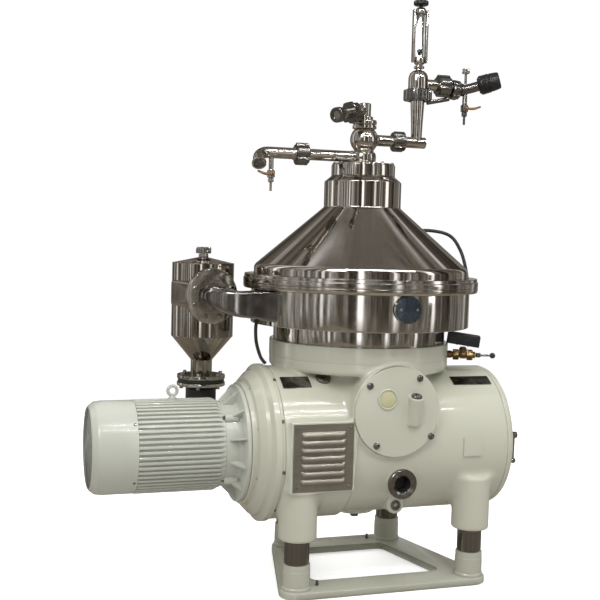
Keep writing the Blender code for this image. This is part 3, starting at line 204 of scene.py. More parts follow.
def brushed(name, light, dark, rough):
    """Sheet brushed level, with fine lines along X and a few hazy patches."""
    look = Look(name)
    parts = look.make("ShaderNodeSeparateXYZ", {0: look.place}).outputs
    place = look.make("ShaderNodeCombineXYZ", {
        0: look.math("MULTIPLY", parts[0], 9.0), 1: parts[1],
        2: look.math("MULTIPLY", parts[2], 260.0)}).outputs[0]
    lines = look.noise(1.0, 3.0, place)
    share = look.ramp(look.math("ADD", look.math("MULTIPLY", lines, 0.4),
                                look.math("MULTIPLY", look.noise(16.0, 3.0), 0.6)),
                      0.36, 0.64, 0.0, 1.0)
    look.set(Base_Color=look.mix(share, light, dark), Metallic=0.85,
             Roughness=look.ramp(look.noise(34.0, 4.0), 0.3, 0.7, rough, rough + 0.12),
             Normal=look.bump(lines, 0.000003, 0.1))
    return look.material


def glass(name, light, dark, rough, clear):
    """Tinted glass: clear lets light through, from 0 to 1."""
    look = Look(name)
    haze = look.ramp(look.noise(30.0, 3.0), 0.3, 0.7, rough, rough + 0.08)
    tone = look.mix(look.ramp(look.noise(14.0), 0.35, 0.65, 0.0, 0.25), light, dark)
    look.set(Base_Color=tone, Roughness=haze, IOR=1.47,
             Transmission_Weight=clear, Normal=look.bump(look.noise(60.0), 0.0001, 0.3))
    return look.material


# Finish, light tone, dark tone, roughness, and what else that finish takes.
FINISHES = {
    "cream_paint": (enamel, (0.500, 0.500, 0.418), (0.475, 0.475, 0.393), 0.14),
    "motor_paint": (enamel, (0.480, 0.490, 0.436), (0.452, 0.462, 0.410), 0.17),
    "base_paint": (enamel, (0.430, 0.430, 0.358), (0.385, 0.387, 0.320), 0.15, 0.5, 0.0003),
    "polished_steel": (turned_steel, (0.64, 0.62, 0.58), (0.44, 0.41, 0.37), 0.085, 0.35),
    "hood_steel": (turned_steel, (0.62, 0.58, 0.54), (0.46, 0.42, 0.38), 0.065, 0.3),
    "ring_steel": (turned_steel, (0.62, 0.60, 0.56), (0.42, 0.40, 0.36), 0.12, 0.4, 1500.0),
    "cyclone_steel": (turned_steel, (0.46, 0.43, 0.38), (0.27, 0.245, 0.21), 0.08, 0.3),
    "duct_steel": (turned_steel, (0.33, 0.32, 0.30), (0.22, 0.21, 0.20), 0.17, 0.1, 60.0),
    "film_steel": (turned_steel, (0.15, 0.195, 0.235), (0.05, 0.075, 0.10), 0.26, 0.0, 40.0),
    "dark_steel": (turned_steel, (0.26, 0.25, 0.24), (0.16, 0.15, 0.14), 0.20, 0.3),
    "machined_steel": (turned_steel, (0.50, 0.48, 0.46), (0.34, 0.32, 0.30), 0.20, 0.4),
    "damper_skin": (turned_steel, (0.250, 0.242, 0.232), (0.190, 0.184, 0.176), 0.15, 0.0, 0.4),
    "pipe_steel": (cast_metal, (0.58, 0.55, 0.51), (0.44, 0.41, 0.37), 0.05, 1.0, 0.00004),
    "cast_iron": (cast_metal, (0.16, 0.15, 0.14), (0.10, 0.09, 0.08), 0.45, 0.5),
    "bronze": (cast_metal, (0.55, 0.36, 0.13), (0.38, 0.24, 0.09), 0.25, 1.0),
    "brass": (cast_metal, (0.36, 0.24, 0.10), (0.12, 0.08, 0.04), 0.24, 1.0),
    "plate_metal": (brushed, (0.33, 0.310, 0.262), (0.26, 0.243, 0.204), 0.30),
    "plate_steel": (cast_metal, (0.26, 0.26, 0.25), (0.10, 0.10, 0.10), 0.12, 1.0, 0.0001),
    "guard_wire": (cast_metal, (0.30, 0.31, 0.28), (0.22, 0.23, 0.20), 0.4, 0.3),
    "black_rubber": (moulded, (0.045, 0.044, 0.040), (0.016, 0.016, 0.016), 0.45),
    "black_plastic": (moulded, (0.030, 0.030, 0.032), (0.010, 0.010, 0.012), 0.28),
    "amber_plastic": (moulded, (0.30, 0.16, 0.06), (0.17, 0.08, 0.03), 0.3),
    "sight_glass": (glass, (0.50, 0.48, 0.30), (0.34, 0.33, 0.20), 0.08, 0.0),
    "clear_glass": (glass, (0.72, 0.74, 0.73), (0.60, 0.63, 0.62), 0.02, 1.0),
}
LOOKS = {name: finish(name, rgb(*light), rgb(*dark), *rest)
         for name, (finish, light, dark, *rest) in FINISHES.items()}
# CAD slot of each look that isn't named after its own slot.
SLOT_OF = dict.fromkeys(("ring_steel", "hood_steel", "cyclone_steel", "duct_steel", "pipe_steel",
                         "film_steel"), "polished_steel")
SLOT_OF.update(plate_steel="dark_steel", damper_skin="black_rubber", guard_wire="machined_steel")


# ---- mesh tools ----------------------------------------------------------------------------
def turns(count):
    """Equal angles of a full turn."""
    return [2.0 * math.pi * step / count for step in range(count)]


def aim(direction, roll=0.0):
    """Rotation that turns a piece's own Z axis to a direction, after a roll about it."""
    turn = Vector(direction).to_track_quat("Z", "Y")
    return turn @ Quaternion((0.0, 0.0, 1.0), roll)


def show(name, bm, look, at=(0, 0, 0), turn=None, body="frame", stands_for=(), smooth=38,
         slot=None):
    """Place a finished bmesh as a piece that rides on a body and stands for CAD nodes."""
    bmesh.ops.recalc_face_normals(bm, faces=bm.faces)
    mesh = bpy.data.meshes.new(name)
    bm.to_mesh(mesh)
    bm.free()
    mesh.materials.append(LOOKS[look])
    mesh.shade_smooth()
    mesh.set_sharp_from_angle(angle=math.radians(smooth))
    made = bpy.data.objects.new(name, mesh)
    bpy.context.scene.collection.objects.link(made)
    made.rotation_mode = "QUATERNION"
    made.rotation_quaternion = turn or Quaternion()
    made.location = AXIS + Vector(at)
    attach(made, body)
    if stands_for:
        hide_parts(*stands_for)
    return made


def fillet(points, radius, steps=4):
    """Outline with its corners rounded, as far as the edges beside each corner allow."""
    rounded = []
    count = len(points)
    for index, (r, h, *own) in enumerate(points):
        corner = Vector((r, h))
        before = Vector(points[index - 1][:2])
        after = Vector(points[(index + 1) % count][:2])
        back, ahead = before - corner, after - corner
        flat = back.length < 1e-7 or ahead.length < 1e-7
        if r < 1e-6 or flat:
            rounded.append((r, h))
            continue
        half = back.angle(ahead) / 2.0
        if half > math.radians(84):
            rounded.append((r, h))
            continue
        wanted = own[0] if own else radius
        reach = min(wanted / math.tan(half), 0.45 * back.length, 0.45 * ahead.length)
        start, end = corner + back.normalized() * reach, corner + ahead.normalized() * reach
        for step in range(steps + 1):
            t = step / steps
            point = (1 - t) ** 2 * start + 2 * t * (1 - t) * corner + t * t * end
            rounded.append((point.x, point.y))
    return rounded


def lathe(profile, sides=96, soft=0.0015, steps=3):
    """Closed solid of revolution about Z from a closed outline of (radius, height) points."""
    bm = bmesh.new()
    rings = []
    for radius, height in fillet(profile, soft, steps) if soft else profile:
        if radius < 1e-6:
            rings.append([bm.verts.new((0.0, 0.0, height))])
            continue
        rings.append([bm.verts.new((radius * math.cos(a), radius * math.sin(a), height))
                      for a in turns(sides)])
    for lower, upper in zip(rings, rings[1:] + rings[:1]):
        if len(lower) == 1 and len(upper) == 1:
            continue
        for side in range(sides):
            after = (side + 1) % sides
            corners = [lower[side % len(lower)], lower[after % len(lower)],
                       upper[after % len(upper)], upper[side % len(upper)]]
            bm.faces.new([c for spot, c in enumerate(corners) if c not in corners[:spot]])
    return bm


def rod(radius, low, high, sides, *rounding):
    """Plain round bar about Z between two heights."""
    return lathe([(0, low), (radius, low), (radius, high), (0, high)], sides, *rounding)


def loft(sections, caps=True):
    """Skin of quads over loops with the same number of points."""
    bm = bmesh.new()
    loops = [[bm.verts.new(point) for point in section] for section in sections]
    pairs = list(zip(loops, loops[1:])) if caps else list(zip(loops, loops[1:] + loops[:1]))
    for lower, upper in pairs:
        for side in range(len(lower)):
            after = (side + 1) % len(lower)
            bm.faces.new((lower[side], lower[after], upper[after], upper[side]))
    if caps:
        bm.faces.new(loops[0])
        bm.faces.new(loops[-1])
    return bm


def block(size, edge, segments=3):
    """Block round its centre with rounded edges."""
    bm = bmesh.new()
    bmesh.ops.create_cube(bm, size=1.0, matrix=Matrix.Diagonal((*size, 1.0)))
    bmesh.ops.bevel(bm, geom=bm.edges[:], offset=edge, segments=segments, profile=0.6,
                    affect="EDGES")
    return bm


def path_frames(points):
    """Point, side and upper direction along a path, without twist."""
    frames = []
    side = None
    for index, point in enumerate(points):
        before, after = points[max(index - 1, 0)], points[min(index + 1, len(points) - 1)]
        along = (after - before).normalized()
        side = along.orthogonal() if side is None else side
        side = (side - along * side.dot(along)).normalized()
        frames.append((point, side, along.cross(side)))
    return frames


def pipe(points, radius, sides=32, radii=None):
    """Round bar or pipe along a path; radii gives a factor for each point."""
    sections = []
    for spot, (point, side, over) in enumerate(path_frames(points)):
        reach = radius * (radii[spot] if radii else 1.0)
        sections.append([point + reach * (math.cos(a) * side + math.sin(a) * over)
                         for a in turns(sides)])
    return loft(sections)


def smooth_route(points, steps):
    """Catmull-Rom curve through points, read at equal steps."""
    points = [Vector(point) for point in points]
    ends = [2 * points[0] - points[1]] + points + [2 * points[-1] - points[-2]]
    route = []
    for before, start, end, after in zip(ends, ends[1:], ends[2:], ends[3:]):
        for step in range(steps):
            t = step / steps
            route.append(0.5 * (2 * start + (end - before) * t
                                + (2 * before - 5 * start + 4 * end - after) * t ** 2
                                + (3 * start - before - 3 * end + after) * t ** 3))
    return route + [points[-1]]


def bend(points, radius, steps=10):
    """Polyline with its inner corners replaced by arcs of one radius."""
    route = [points[0]]
    for before, corner, after in zip(points, points[1:], points[2:]):
        back, ahead = (before - corner).normalized(), (after - corner).normalized()
        half = back.angle(ahead) / 2.0
        centre = corner + (back + ahead).normalized() * radius / math.sin(half)
        first = corner + back * radius / math.tan(half) - centre
        last = corner + ahead * radius / math.tan(half) - centre
        normal = first.cross(last).normalized()
        for step in range(steps + 1):
            turn = Matrix.Rotation(first.angle(last) * step / steps, 3, normal)
            route.append(centre + turn @ first)
    return route + [points[-1]]


def ring_path(centre, radius, first, second, steps=48):
    """Points of a circle in the plane of two directions, without the closing point."""
    return [centre + radius * (math.cos(a) * first + math.sin(a) * second)
            for a in turns(steps)]


def torus(centre, radius, thick, first, second, steps=48, sides=12):
    """Round bar bent to a closed ring."""
    normal = first.cross(second)
    loops = []
    for point in ring_path(centre, radius, first, second, steps):
        out = (point - centre).normalized()
        loops.append([point + thick * (math.cos(a) * out + math.sin(a) * normal)
                      for a in turns(sides)])
    return loft(loops, caps=False)


def merged(*parts):
    """One bmesh of several; a part may come with its place and direction."""
    whole = bmesh.new()
    for part in parts:
        bm, at, turn = part if isinstance(part, tuple) else (part, Vector(), None)
        mesh = bpy.data.meshes.new("part")
        bm.to_mesh(mesh)
        mesh.transform(Matrix.Translation(at) @ (turn or Quaternion()).to_matrix().to_4x4())
        whole.from_mesh(mesh)
        bpy.data.meshes.remove(mesh)
        bm.free()
    return whole


def round_places(centre, normal, radius, count, start=0.0):
    """Places of a bolt circle, in degrees from a fixed direction across its normal."""
    turn = aim(normal)
    places = []
    for spot in range(count):
        angle = math.radians(start) + 2.0 * math.pi * spot / count
        places.append(Vector(centre) + turn @ Vector((math.cos(angle), math.sin(angle), 0))
                      * radius)
    return places


def notched(outer, bore, length, notches, depth, share=0.32, chamfer=0.0025, points=8):
    """Ring with notches cut along its rim, as on a union nut or a knurled knob."""
    angles, factors = [], []
    for notch in range(notches):
        for point in range(points):
            part = point / points
            angles.append(2.0 * math.pi * (notch + part) / notches)
            edge = min(part, 1.0 - part) * 2.0
            factors.append(1.0 - depth * (1.0 if edge < share else 0.0))
    loops = []
    for height, inset in ((-1, 1), (-1 + 2 * chamfer / length, 0), (1 - 2 * chamfer / length, 0),
                          (1, 1)):
        loops.append([Vector((math.cos(a), math.sin(a), 0)) * (outer - inset * chamfer) * f
                      + Z * height * length / 2 for a, f in zip(angles, factors)])
    for height in (1, -1):
        loops.append([Vector((math.cos(a), math.sin(a), 0)) * bore + Z * height * length / 2
                      for a in angles])
    return loft(loops, caps=False)


def hex_head(across, height):
    """Hexagon head or nut with its corners chamfered, standing on its origin."""
    radius = across / math.sqrt(3)
    loops = []
    for level, shrink in ((0.0, 1.0), (0.82, 1.0), (1.0, 0.88)):
        loops.append([Vector((radius * shrink * math.cos(a), radius * shrink * math.sin(a),
                              height * level))
                      for a in (math.pi * side / 3 for side in range(6))])
    return loft(loops)


def bolt(across, height, washer=1.25):
    """Hexagon bolt head on its washer."""
    plate = across * washer / 2
    base = rod(plate, -0.001, 0.0012, 24, 0.0004, 2)
    return merged(base, (hex_head(across, height), Z * 0.0012, None))


def socket_screw(radius, height):
    """Cap screw with a hexagon socket."""
    outline = [(0.0, -0.001), (radius, -0.001), (radius, height), (radius * 0.55, height),
               (radius * 0.5, height * 0.45), (0.0, height * 0.4)]
    return lathe(outline, 24, radius * 0.12, 2)


def ball_of(radius, around, levels):
    """Round knob on its centre."""
    bm = bmesh.new()
    bmesh.ops.create_uvsphere(bm, u_segments=around, v_segments=levels, radius=radius)
    return bm


def dome_screw(radius, height):
    outline = [(0.0, -0.001), (radius, -0.001), (radius, height * 0.25),
               (radius * 0.75, height * 0.8), (0.0, height)]
    return lathe(outline, 20, radius * 0.25, 3)


def scatter(name, pattern, places, direction, look, **rest):
    """The same small fitting at several places, as one piece."""
    parts = [(pattern(), place, aim(direction, 0.7 * spot)) for spot, place in enumerate(places)]
    return show(name, merged(*parts), look, **rest)


# ---- castings as blended solids ------------------------------------------------------------
class Casting:
    """Solid made of blended bars and blocks, held as a distance field over points."""

    def __init__(self):
        self.steps = []

    def bar(self, at, direction, radius, low, high, blend=0.0, edge=0.004, cut=False, taper=0.0):
        """Round bar along a direction; taper is the radius lost at its high end."""
        at, heading = np.array(at, np.float32), np.array(Vector(direction).normalized())

        def distance(points):
            offset = points - at
            along = offset @ heading.astype(np.float32)
            across = np.sqrt(np.maximum((offset ** 2).sum(-1) - along ** 2, 0.0))
            reach = radius - taper * np.clip((along - low) / (high - low), 0.0, 1.0)
            side = across - reach + edge
            end = np.abs(along - (low + high) / 2) - (high - low) / 2 + edge
            outside = np.sqrt(np.maximum(side, 0) ** 2 + np.maximum(end, 0) ** 2)
            return np.minimum(np.maximum(side, end), 0) + outside - edge

        self.steps.append((distance, blend, cut))

    def block(self, at, size, blend=0.0, edge=0.004, cut=False):
        at, half = np.array(at, np.float32), np.array(size, np.float32) / 2 - edge

        def distance(points):
            offset = np.abs(points - at) - half
            outside = np.sqrt((np.maximum(offset, 0) ** 2).sum(-1))
            return outside + np.minimum(offset.max(-1), 0) - edge

        self.steps.append((distance, blend, cut))

    def distance(self, points):
        total = None
        for field, blend, cut in self.steps:
            found = field(points)
            if total is None:
                total = found
                continue
            if cut:
                total = np.maximum(total, -found)
                continue
            if blend:
                share = np.clip(0.5 + 0.5 * (total - found) / blend, 0.0, 1.0)
                total = (total * (1 - share) + found * share - blend * share * (1 - share))
            else:
                total = np.minimum(total, found)
        return total

    def settle(self, points, rounds=4, reach=0.0004):
        """Move points onto the skin along the field's slope."""
        for _ in range(rounds):
            value = self.distance(points)
            slope = np.stack([self.distance(points + reach * axis) - value
                              for axis in np.eye(3, dtype=np.float32)], -1) / reach
            steep = np.maximum((slope ** 2).sum(-1), 0.25)
            points = points - 0.8 * (value / steep)[:, None] * slope
        return points

    def mesh(self, low, high, step):
        """Skin as quads: one point in each grid cell that the surface crosses."""
        low = np.array(low, np.float32)
        counts = np.ceil((np.array(high) - low) / step).astype(int) + 1
        slices = []
        for i in range(counts[0]):
            grid = np.stack(np.meshgrid([i], np.arange(counts[1]), np.arange(counts[2]),
                                        indexing="ij"), -1)[0]
            slices.append(self.distance(low + step * grid.astype(np.float32)))
        values = np.stack(slices)
        inside = values < 0
        corners = [np.array(c) for c in np.ndindex(2, 2, 2)]
        size = np.array(values.shape) - 1

        def part(array, corner):
            return array[tuple(slice(c, c + n) for c, n in zip(corner, size))]

        total = sum(part(inside, corner).astype(np.int8) for corner in corners)
        cells = np.argwhere((total > 0) & (total < 8))
        number = np.full(size, -1)
        number[tuple(cells.T)] = np.arange(len(cells))
        sums, hits = np.zeros((len(cells), 3)), np.zeros(len(cells))
        for start in corners:
            for axis in range(3):
                if start[axis]:
                    continue
                end = start + np.eye(3, dtype=int)[axis]
                first = values[tuple((cells + start).T)]
                last = values[tuple((cells + end).T)]
                crossed = (first < 0) != (last < 0)
                share = np.where(crossed, first / np.where(crossed, first - last, 1.0), 0.0)
                place = start + share[:, None] * (end - start)
                sums += np.where(crossed[:, None], place, 0.0)
                hits += crossed
        points = low + step * (cells + sums / hits[:, None])
        points = self.settle(points.astype(np.float32))
        quads = []
        for axis in range(3):
            u, v = (axis + 1) % 3, (axis + 2) % 3
            lower = tuple(slice(0, -1) if a == axis else slice(1, -1) for a in range(3))
            upper = tuple(slice(1, None) if a == axis else slice(1, -1) for a in range(3))
            crossed = inside[lower] != inside[upper]
            spots = np.argwhere(crossed)
            spots[:, u] += 1
            spots[:, v] += 1
            outward = inside[tuple(spots.T)]
            ring = []
            for back_u, back_v in ((1, 1), (0, 1), (0, 0), (1, 0)):
                cell = spots.copy()
                cell[:, u] -= back_u
                cell[:, v] -= back_v
                ring.append(number[tuple(cell.T)])
            ring = np.stack(ring, -1)
            quads.append(np.where(outward[:, None], ring, ring[:, ::-1]))
        return points, np.concatenate(quads)

    def bm(self, low, high, step):
        points, quads = self.mesh(low, high, step)
        mesh = bpy.data.meshes.new("casting")
        mesh.from_pydata(points.tolist(), [], quads.tolist())
        bm = bmesh.new()
        bm.from_mesh(mesh)
        bpy.data.meshes.remove(mesh)
        return bm


# ---- base frame and feet -------------------------------------------------------------------
FEET = {name: middle(f"foot_damper_{name}") - AXIS
        for name in ("front_left", "front_right", "rear_right", "rear_left")}
SOCKET_TOP, LEG_BOTTOM = span("foot_damper_front_left", 2)
BASE_THICK = 0.025


def corner_outline(corners, radius, offset, steps=400):
    """Radius at equal angles of the corners' outline, moved out by offset, corners rounded."""
    centre = sum(corners, Vector((0, 0))) / len(corners)
    shape = []
    for step in range(steps):
        angle = 2.0 * math.pi * step / steps
        heading = Vector((math.cos(angle), math.sin(angle)))
        near, far = 0.0, 1.0
        for _ in range(26):
            reach = (near + far) / 2
            point = centre + heading * reach
            if corner_distance(point, corners, radius - offset) < radius:
                near = reach
            else:
                far = reach
        shape.append(centre + heading * near)
    return shape


def corner_distance(point, corners, inset):
    """Distance of a point outside the corners' outline after that shrinks by inset."""
    shrunk = []
    for index, corner in enumerate(corners):
        before = (corners[index - 1] - corner).normalized()
        after = (corners[(index + 1) % len(corners)] - corner).normalized()
        half = before.angle(after) / 2.0
        shrunk.append(corner + (before + after).normalized() * inset / math.sin(half))
    nearest, outside = 1e9, False
    for index, start in enumerate(shrunk):
        end = shrunk[(index + 1) % len(shrunk)]
        edge = end - start
        share = min(max((point - start).dot(edge) / edge.length_squared, 0.0), 1.0)
        nearest = min(nearest, (point - start - edge * share).length)
        outside = outside or edge.x * (point - start).y - edge.y * (point - start).x < 0
    return nearest if outside else -nearest


def base_frame():
    corners = [place.to_2d() for place in FEET.values()]
    outer_r, window_r, rail_half = 0.058, 0.030, 0.055
    rim = 0.0035
    loops = []
    for offset, level in ((-rim, 0), (0, rim), (0, BASE_THICK - rim), (-0.3 * rim, -0.3 * rim),
                          (-rim, BASE_THICK)):
        height = level if level >= 0 else BASE_THICK - 0.3 * rim
        loops.append([p.to_3d() + Z * height
                      for p in corner_outline(corners, outer_r, outer_r + offset)])
    for offset, height in ((rim, BASE_THICK), (0, BASE_THICK - rim), (0, rim), (rim, 0)):
        loops.append([p.to_3d() + Z * height
                      for p in corner_outline(corners, window_r, -rail_half - offset)])
    frame_bm = loft(loops, caps=False)
    sockets = []
    for place in FEET.values():
        outline = [(0, 0.010), (0.0515, 0.010), (0.0515, 0.0325), (0.0480, 0.0375),
                   (0.0480, SOCKET_TOP - 0.0225), (0.0470, SOCKET_TOP - 0.0215),
                   (0.0470, SOCKET_TOP), (0, SOCKET_TOP)]
        sockets.append((lathe(outline, 64, 0.0016), place.to_2d().to_3d(), None))
    show("base_frame_welded", merged(frame_bm, *sockets), "base_paint", stands_for=["base_frame"],
         smooth=50)
    front_mid = (FEET["front_left"] + FEET["front_right"]) / 2
    rear_mid = (FEET["rear_left"] + FEET["rear_right"]) / 2
    studs = [front_mid + Vector((-0.246, 0.010, 0)), rear_mid + Vector((0.130, 0.010, 0))]
    nut = (0.011, 0.006)
    scatter("base_studs",
            lambda: merged(rod(0.0045, 0, 0.017, 16, 0.0008), (hex_head(*nut), Z * 0.002, None)),
            [p.to_2d().to_3d() + Z * BASE_THICK for p in studs], Z, "cast_iron")


def foot_dampers():
    low, high = SOCKET_TOP, LEG_BOTTOM
    outline = [(0, low), (0.0415, low), (0.0432, low + 0.010), (0.0432, high - 0.004),
               (0.0405, high), (0, high)]
    for name, place in FEET.items():
        show(f"damper_{name}", lathe(outline, 72, 0.005, 5), "damper_skin", place.to_2d().to_3d(),
             stands_for=[f"foot_damper_{name}"])


# ---- housing -------------------------------------------------------------------------------
COVER_AT = Vector((0.019, -0.3405, 0.6335))
COVER_R = 0.155
LOUVRE_AT = Vector((-0.2435, -0.3362, 0.487))
PORT_AT = Vector((0.052, -0.317, 0.380))
DRAIN_AT = Vector((0.053, -0.268, 0.292))
BARREL_LEFT, BARREL_RIGHT = -0.373, span("end_cover", 0)[0]
BARREL_R_LEFT, BARREL_R_RIGHT = 0.270, 0.259
TOWER_R, TOWER_TOP = 0.328, span("drum_skirt", 2)[0]


def housing():
    """One casting: barrel, tower, legs, bosses and pads, hollowed like the CAD housing."""
    cast = Casting()
    # What the casting is made of.
    cast.bar(SHAFT_AT, X, BARREL_R_RIGHT + 0.004, -0.30, BARREL_RIGHT, edge=0.002, taper=0.004)
    cast.bar(SHAFT_AT, X, BARREL_R_LEFT, BARREL_LEFT, -0.128, 0.020, 0.002)
    cast.bar((0, 0, 0), Z, 0.262, 0.60, 0.78, 0.024, 0.006)
    cast.bar((0, 0, 0), Z, TOWER_R, 0.750, TOWER_TOP, 0.014, 0.016)
    for place in FEET.values():
        cast.bar(place, Z, 0.0665, LEG_BOTTOM - place.z, 0.385 - place.z, 0.036, 0.008)
    cast.bar((COVER_AT.x, 0, COVER_AT.z), FRONT, COVER_R + 0.0045, 0.05, -COVER_AT.y - 0.0083,
             0.024, 0.004)
    pad = (0.228, 0.12, 0.243)
    cast.block((LOUVRE_AT.x, LOUVRE_AT.y + pad[1] / 2, LOUVRE_AT.z), pad, 0.018, 0.006)
    cast.bar((PORT_AT.x, 0, PORT_AT.z), FRONT, 0.0440, 0.12, -PORT_AT.y, 0.024, 0.003)
    cast.bar((DRAIN_AT.x, 0, DRAIN_AT.z), FRONT, 0.0310, 0.12, -DRAIN_AT.y, 0.010, 0.004)
    cast.bar((DRAIN_AT.x + 0.010, 0, DRAIN_AT.z + 0.035), FRONT, 0.028, 0.12,
             -DRAIN_AT.y - 0.006, 0.014, 0.004)
    cast.bar((-0.020, SHAFT_Y, 0), Z, 0.062, 0.228, 0.30, 0.020, 0.004)
    # What is cut away: the faces of cover and louvres, then the chambers and bores inside.
    cast.block((LOUVRE_AT.x, LOUVRE_AT.y - 0.05, LOUVRE_AT.z), (0.2195, 0.1, 0.2345), edge=0.0005,
               cut=True)
    cast.bar((COVER_AT.x, 0, COVER_AT.z), FRONT, COVER_R + 0.002, -COVER_AT.y - 0.0083, 0.40,
             edge=0.0005, cut=True)
    chambers = ((BARREL_R_LEFT - 0.014, BARREL_LEFT - 0.05, -0.215), (0.245, -0.195, 0.215),
                (0.245, 0.235, BARREL_RIGHT + 0.05), (0.0215, BARREL_LEFT, BARREL_RIGHT))
    for radius, low, high in chambers:
        cast.bar(SHAFT_AT, X, radius, low, high, edge=0.001, cut=True)
    bore, lip = TOWER_R - 0.016, 0.292
    cast.bar((0, 0, 0), Z, bore, 0.775, TOWER_TOP - 0.012, edge=0.001, cut=True)
    cast.bar((0, 0, 0), Z, lip, 0.790, TOWER_TOP + 0.05, edge=0.001, cut=True)
    cast.bar((0, 0, 0), Z, 0.030, 0.60, 0.80, edge=0.001, cut=True)
    cast.bar((COVER_AT.x, 0, COVER_AT.z), FRONT, COVER_R - 0.022, 0.10, 0.40, edge=0.001, cut=True)
    cast.block((LOUVRE_AT.x, -0.30, LOUVRE_AT.z), (0.162, 0.30, 0.177), edge=0.001, cut=True)
    cast.bar((PORT_AT.x, 0, PORT_AT.z), FRONT, 0.029, 0.10, 0.40, edge=0.001, cut=True)
    # The spindle's lower bearing seat stands in the sump.
    cast.bar((0, 0, 0), Z, 0.030, 0.236, 0.2995, edge=0.001)
    skin = cast.bm((-0.385, -0.352, 0.188), (0.470, 0.342, 0.862), 0.0048)
    show("housing_casting", skin, "cream_paint", stands_for=["machine_housing"], smooth=55)
    band = [(0.292, 0.7920), (TOWER_R + 0.0010, 0.7920), (TOWER_R + 0.0010, TOWER_TOP - 0.0002),
            (0.292, TOWER_TOP - 0.0002)]
    show("tower_top_band", lathe(band, 192, 0.0032, 4), "cream_paint")


def barrel_out(degrees):
    """Direction out of the barrel, in degrees up from the front."""
    angle = math.radians(degrees)
    return Vector((0, -math.cos(angle), math.sin(angle)))


def laid_plate(name, radius, x_low, x_high, low_degrees, high_degrees, look):
    """Thin plate bent round the barrel between two heights, without any marks on it."""
    steps, under = 14, 0.006
    sections = []
    for x in (x_low, x_high):
        outs = [barrel_out(low_degrees + (high_degrees - low_degrees) * step / steps)
                for step in range(steps + 1)]
        sections.append([SHAFT_AT + X * x + out * radius for out in outs]
                        + [SHAFT_AT + X * x + out * (radius - under) for out in outs[::-1]])
    show(name, loft(sections), look, smooth=30)


def barrel_fittings():
    left, right = BARREL_R_LEFT + 0.0042, BARREL_R_RIGHT + 0.0036
    laid_plate("blank_plate_left", left, -0.357, -0.255, 52, 64, "plate_steel")
    laid_plate("blank_plate_right", right, 0.289, 0.440, 54, 64, "plate_steel")
    laid_plate("square_pad", right + 0.0020, 0.282, 0.352, -5.5, 8.5, "cream_paint")
    out = barrel_out(61)
    at = SHAFT_AT + X * -0.203 + out * (left + 0.0055)
    plug = [(0, -0.024), (0.0265, -0.024), (0.0265, 0.0020), (0.0230, 0.0040), (0.0100, 0.0040),
            (0.0095, 0.0015), (0.0045, 0.0015), (0.0040, 0.0060), (0, 0.0065)]
    show("sensor_plug", lathe(plug, 48, 0.0006), "dark_steel", at, aim(out))
    drain = [(0, -0.010), (0.026, -0.010), (0.026, 0.002), (0.020, 0.006), (0, 0.006)]
    at = Vector((-0.020, SHAFT_Y, 0.2285))
    show("sump_plug", merged((lathe(drain, 40, 0.001), at, aim(-Z)),
                             (hex_head(0.028, 0.018), at - Z * 0.006, aim(-Z))), "cast_iron")
    cup = [(0, 0), (0.0180, 0), (0.0180, 0.006), (0.0155, 0.008), (0.0085, 0.008),
           (0.0080, 0.001), (0, 0.001)]
    show("ear_plug", lathe(cup, 40, 0.0012), "cast_iron", DRAIN_AT + FRONT * -0.001, aim(FRONT))


def gear_cover():
    glass_at = COVER_AT + Vector((-0.038, 0, 0.045))
    boss_at = COVER_AT + Vector((0.060, -0.008, 0.018))
    plate = [(0, -0.008), (COVER_R, -0.008), (COVER_R, 0), (0, 0)]
    rim = [(0.0300, -0.006), (0.0370, -0.006), (0.0365, 0.0025), (0.0335, 0.0042),
           (0.0300, 0.0032)]
    tilt = Vector((0, -math.sin(math.radians(15)), math.cos(math.radians(15))))
    boss = Casting()
    boss.bar(COVER_AT, FRONT, COVER_R - 0.003, -0.0078, -0.0002, edge=0.0004)
    boss.bar(boss_at, tilt, 0.0245, -0.064, 0.036, 0.012, 0.004)
    boss.block(COVER_AT - Vector((0, -0.108, 0)), (0.5, 0.2, 0.5), edge=0.0001, cut=True)
    low, high = boss_at + Vector((-0.040, -0.040, -0.105)), boss_at + Vector((0.040, 0.014, 0.060))
    skin = boss.bm(low, high, 0.0018)
    cover = merged((lathe(plate, 128, 0.0026, 4), COVER_AT, aim(FRONT)), skin,
                   (lathe(rim, 64, 0.0012), glass_at, aim(FRONT)))
    show("gear_cover_round", cover, "cream_paint", stands_for=["gear_access_cover"])
    lens = [(0, -0.007), (0.0296, -0.007), (0.0296, 0.0012), (0.0150, 0.0026), (0, 0.0032)]
    show("sight_glass_lens", lathe(lens, 64, 0.0010), "sight_glass", glass_at, aim(FRONT),
         stands_for=["oil_sight_glass"])
    top = boss_at + tilt * 0.036
    plug = [(0, -0.004), (0.0190, -0.004), (0.0190, 0.005), (0.0165, 0.009), (0.0062, 0.009),
            (0.0060, 0.003), (0, 0.003)]
    show("filler_plug", lathe(plug, 40, 0.0014), "dark_steel", top, aim(tilt))
    places = [COVER_AT + Vector((dx, 0, dz)) for dx, dz in
              ((-0.104, 0.092), (0.079, 0.115), (0.127, -0.087), (-0.074, -0.113))]
    screw = [(0, -0.001), (0.0122, -0.001), (0.0122, 0.0016), (0.0108, 0.0020), (0.0096, 0.0068),
             (0.0076, 0.0082), (0.0052, 0.0082), (0.0048, 0.0036), (0, 0.0036)]
    scatter("gear_cover_screws", lambda: lathe(screw, 32, 0.0007), places, FRONT,
            "dark_steel")


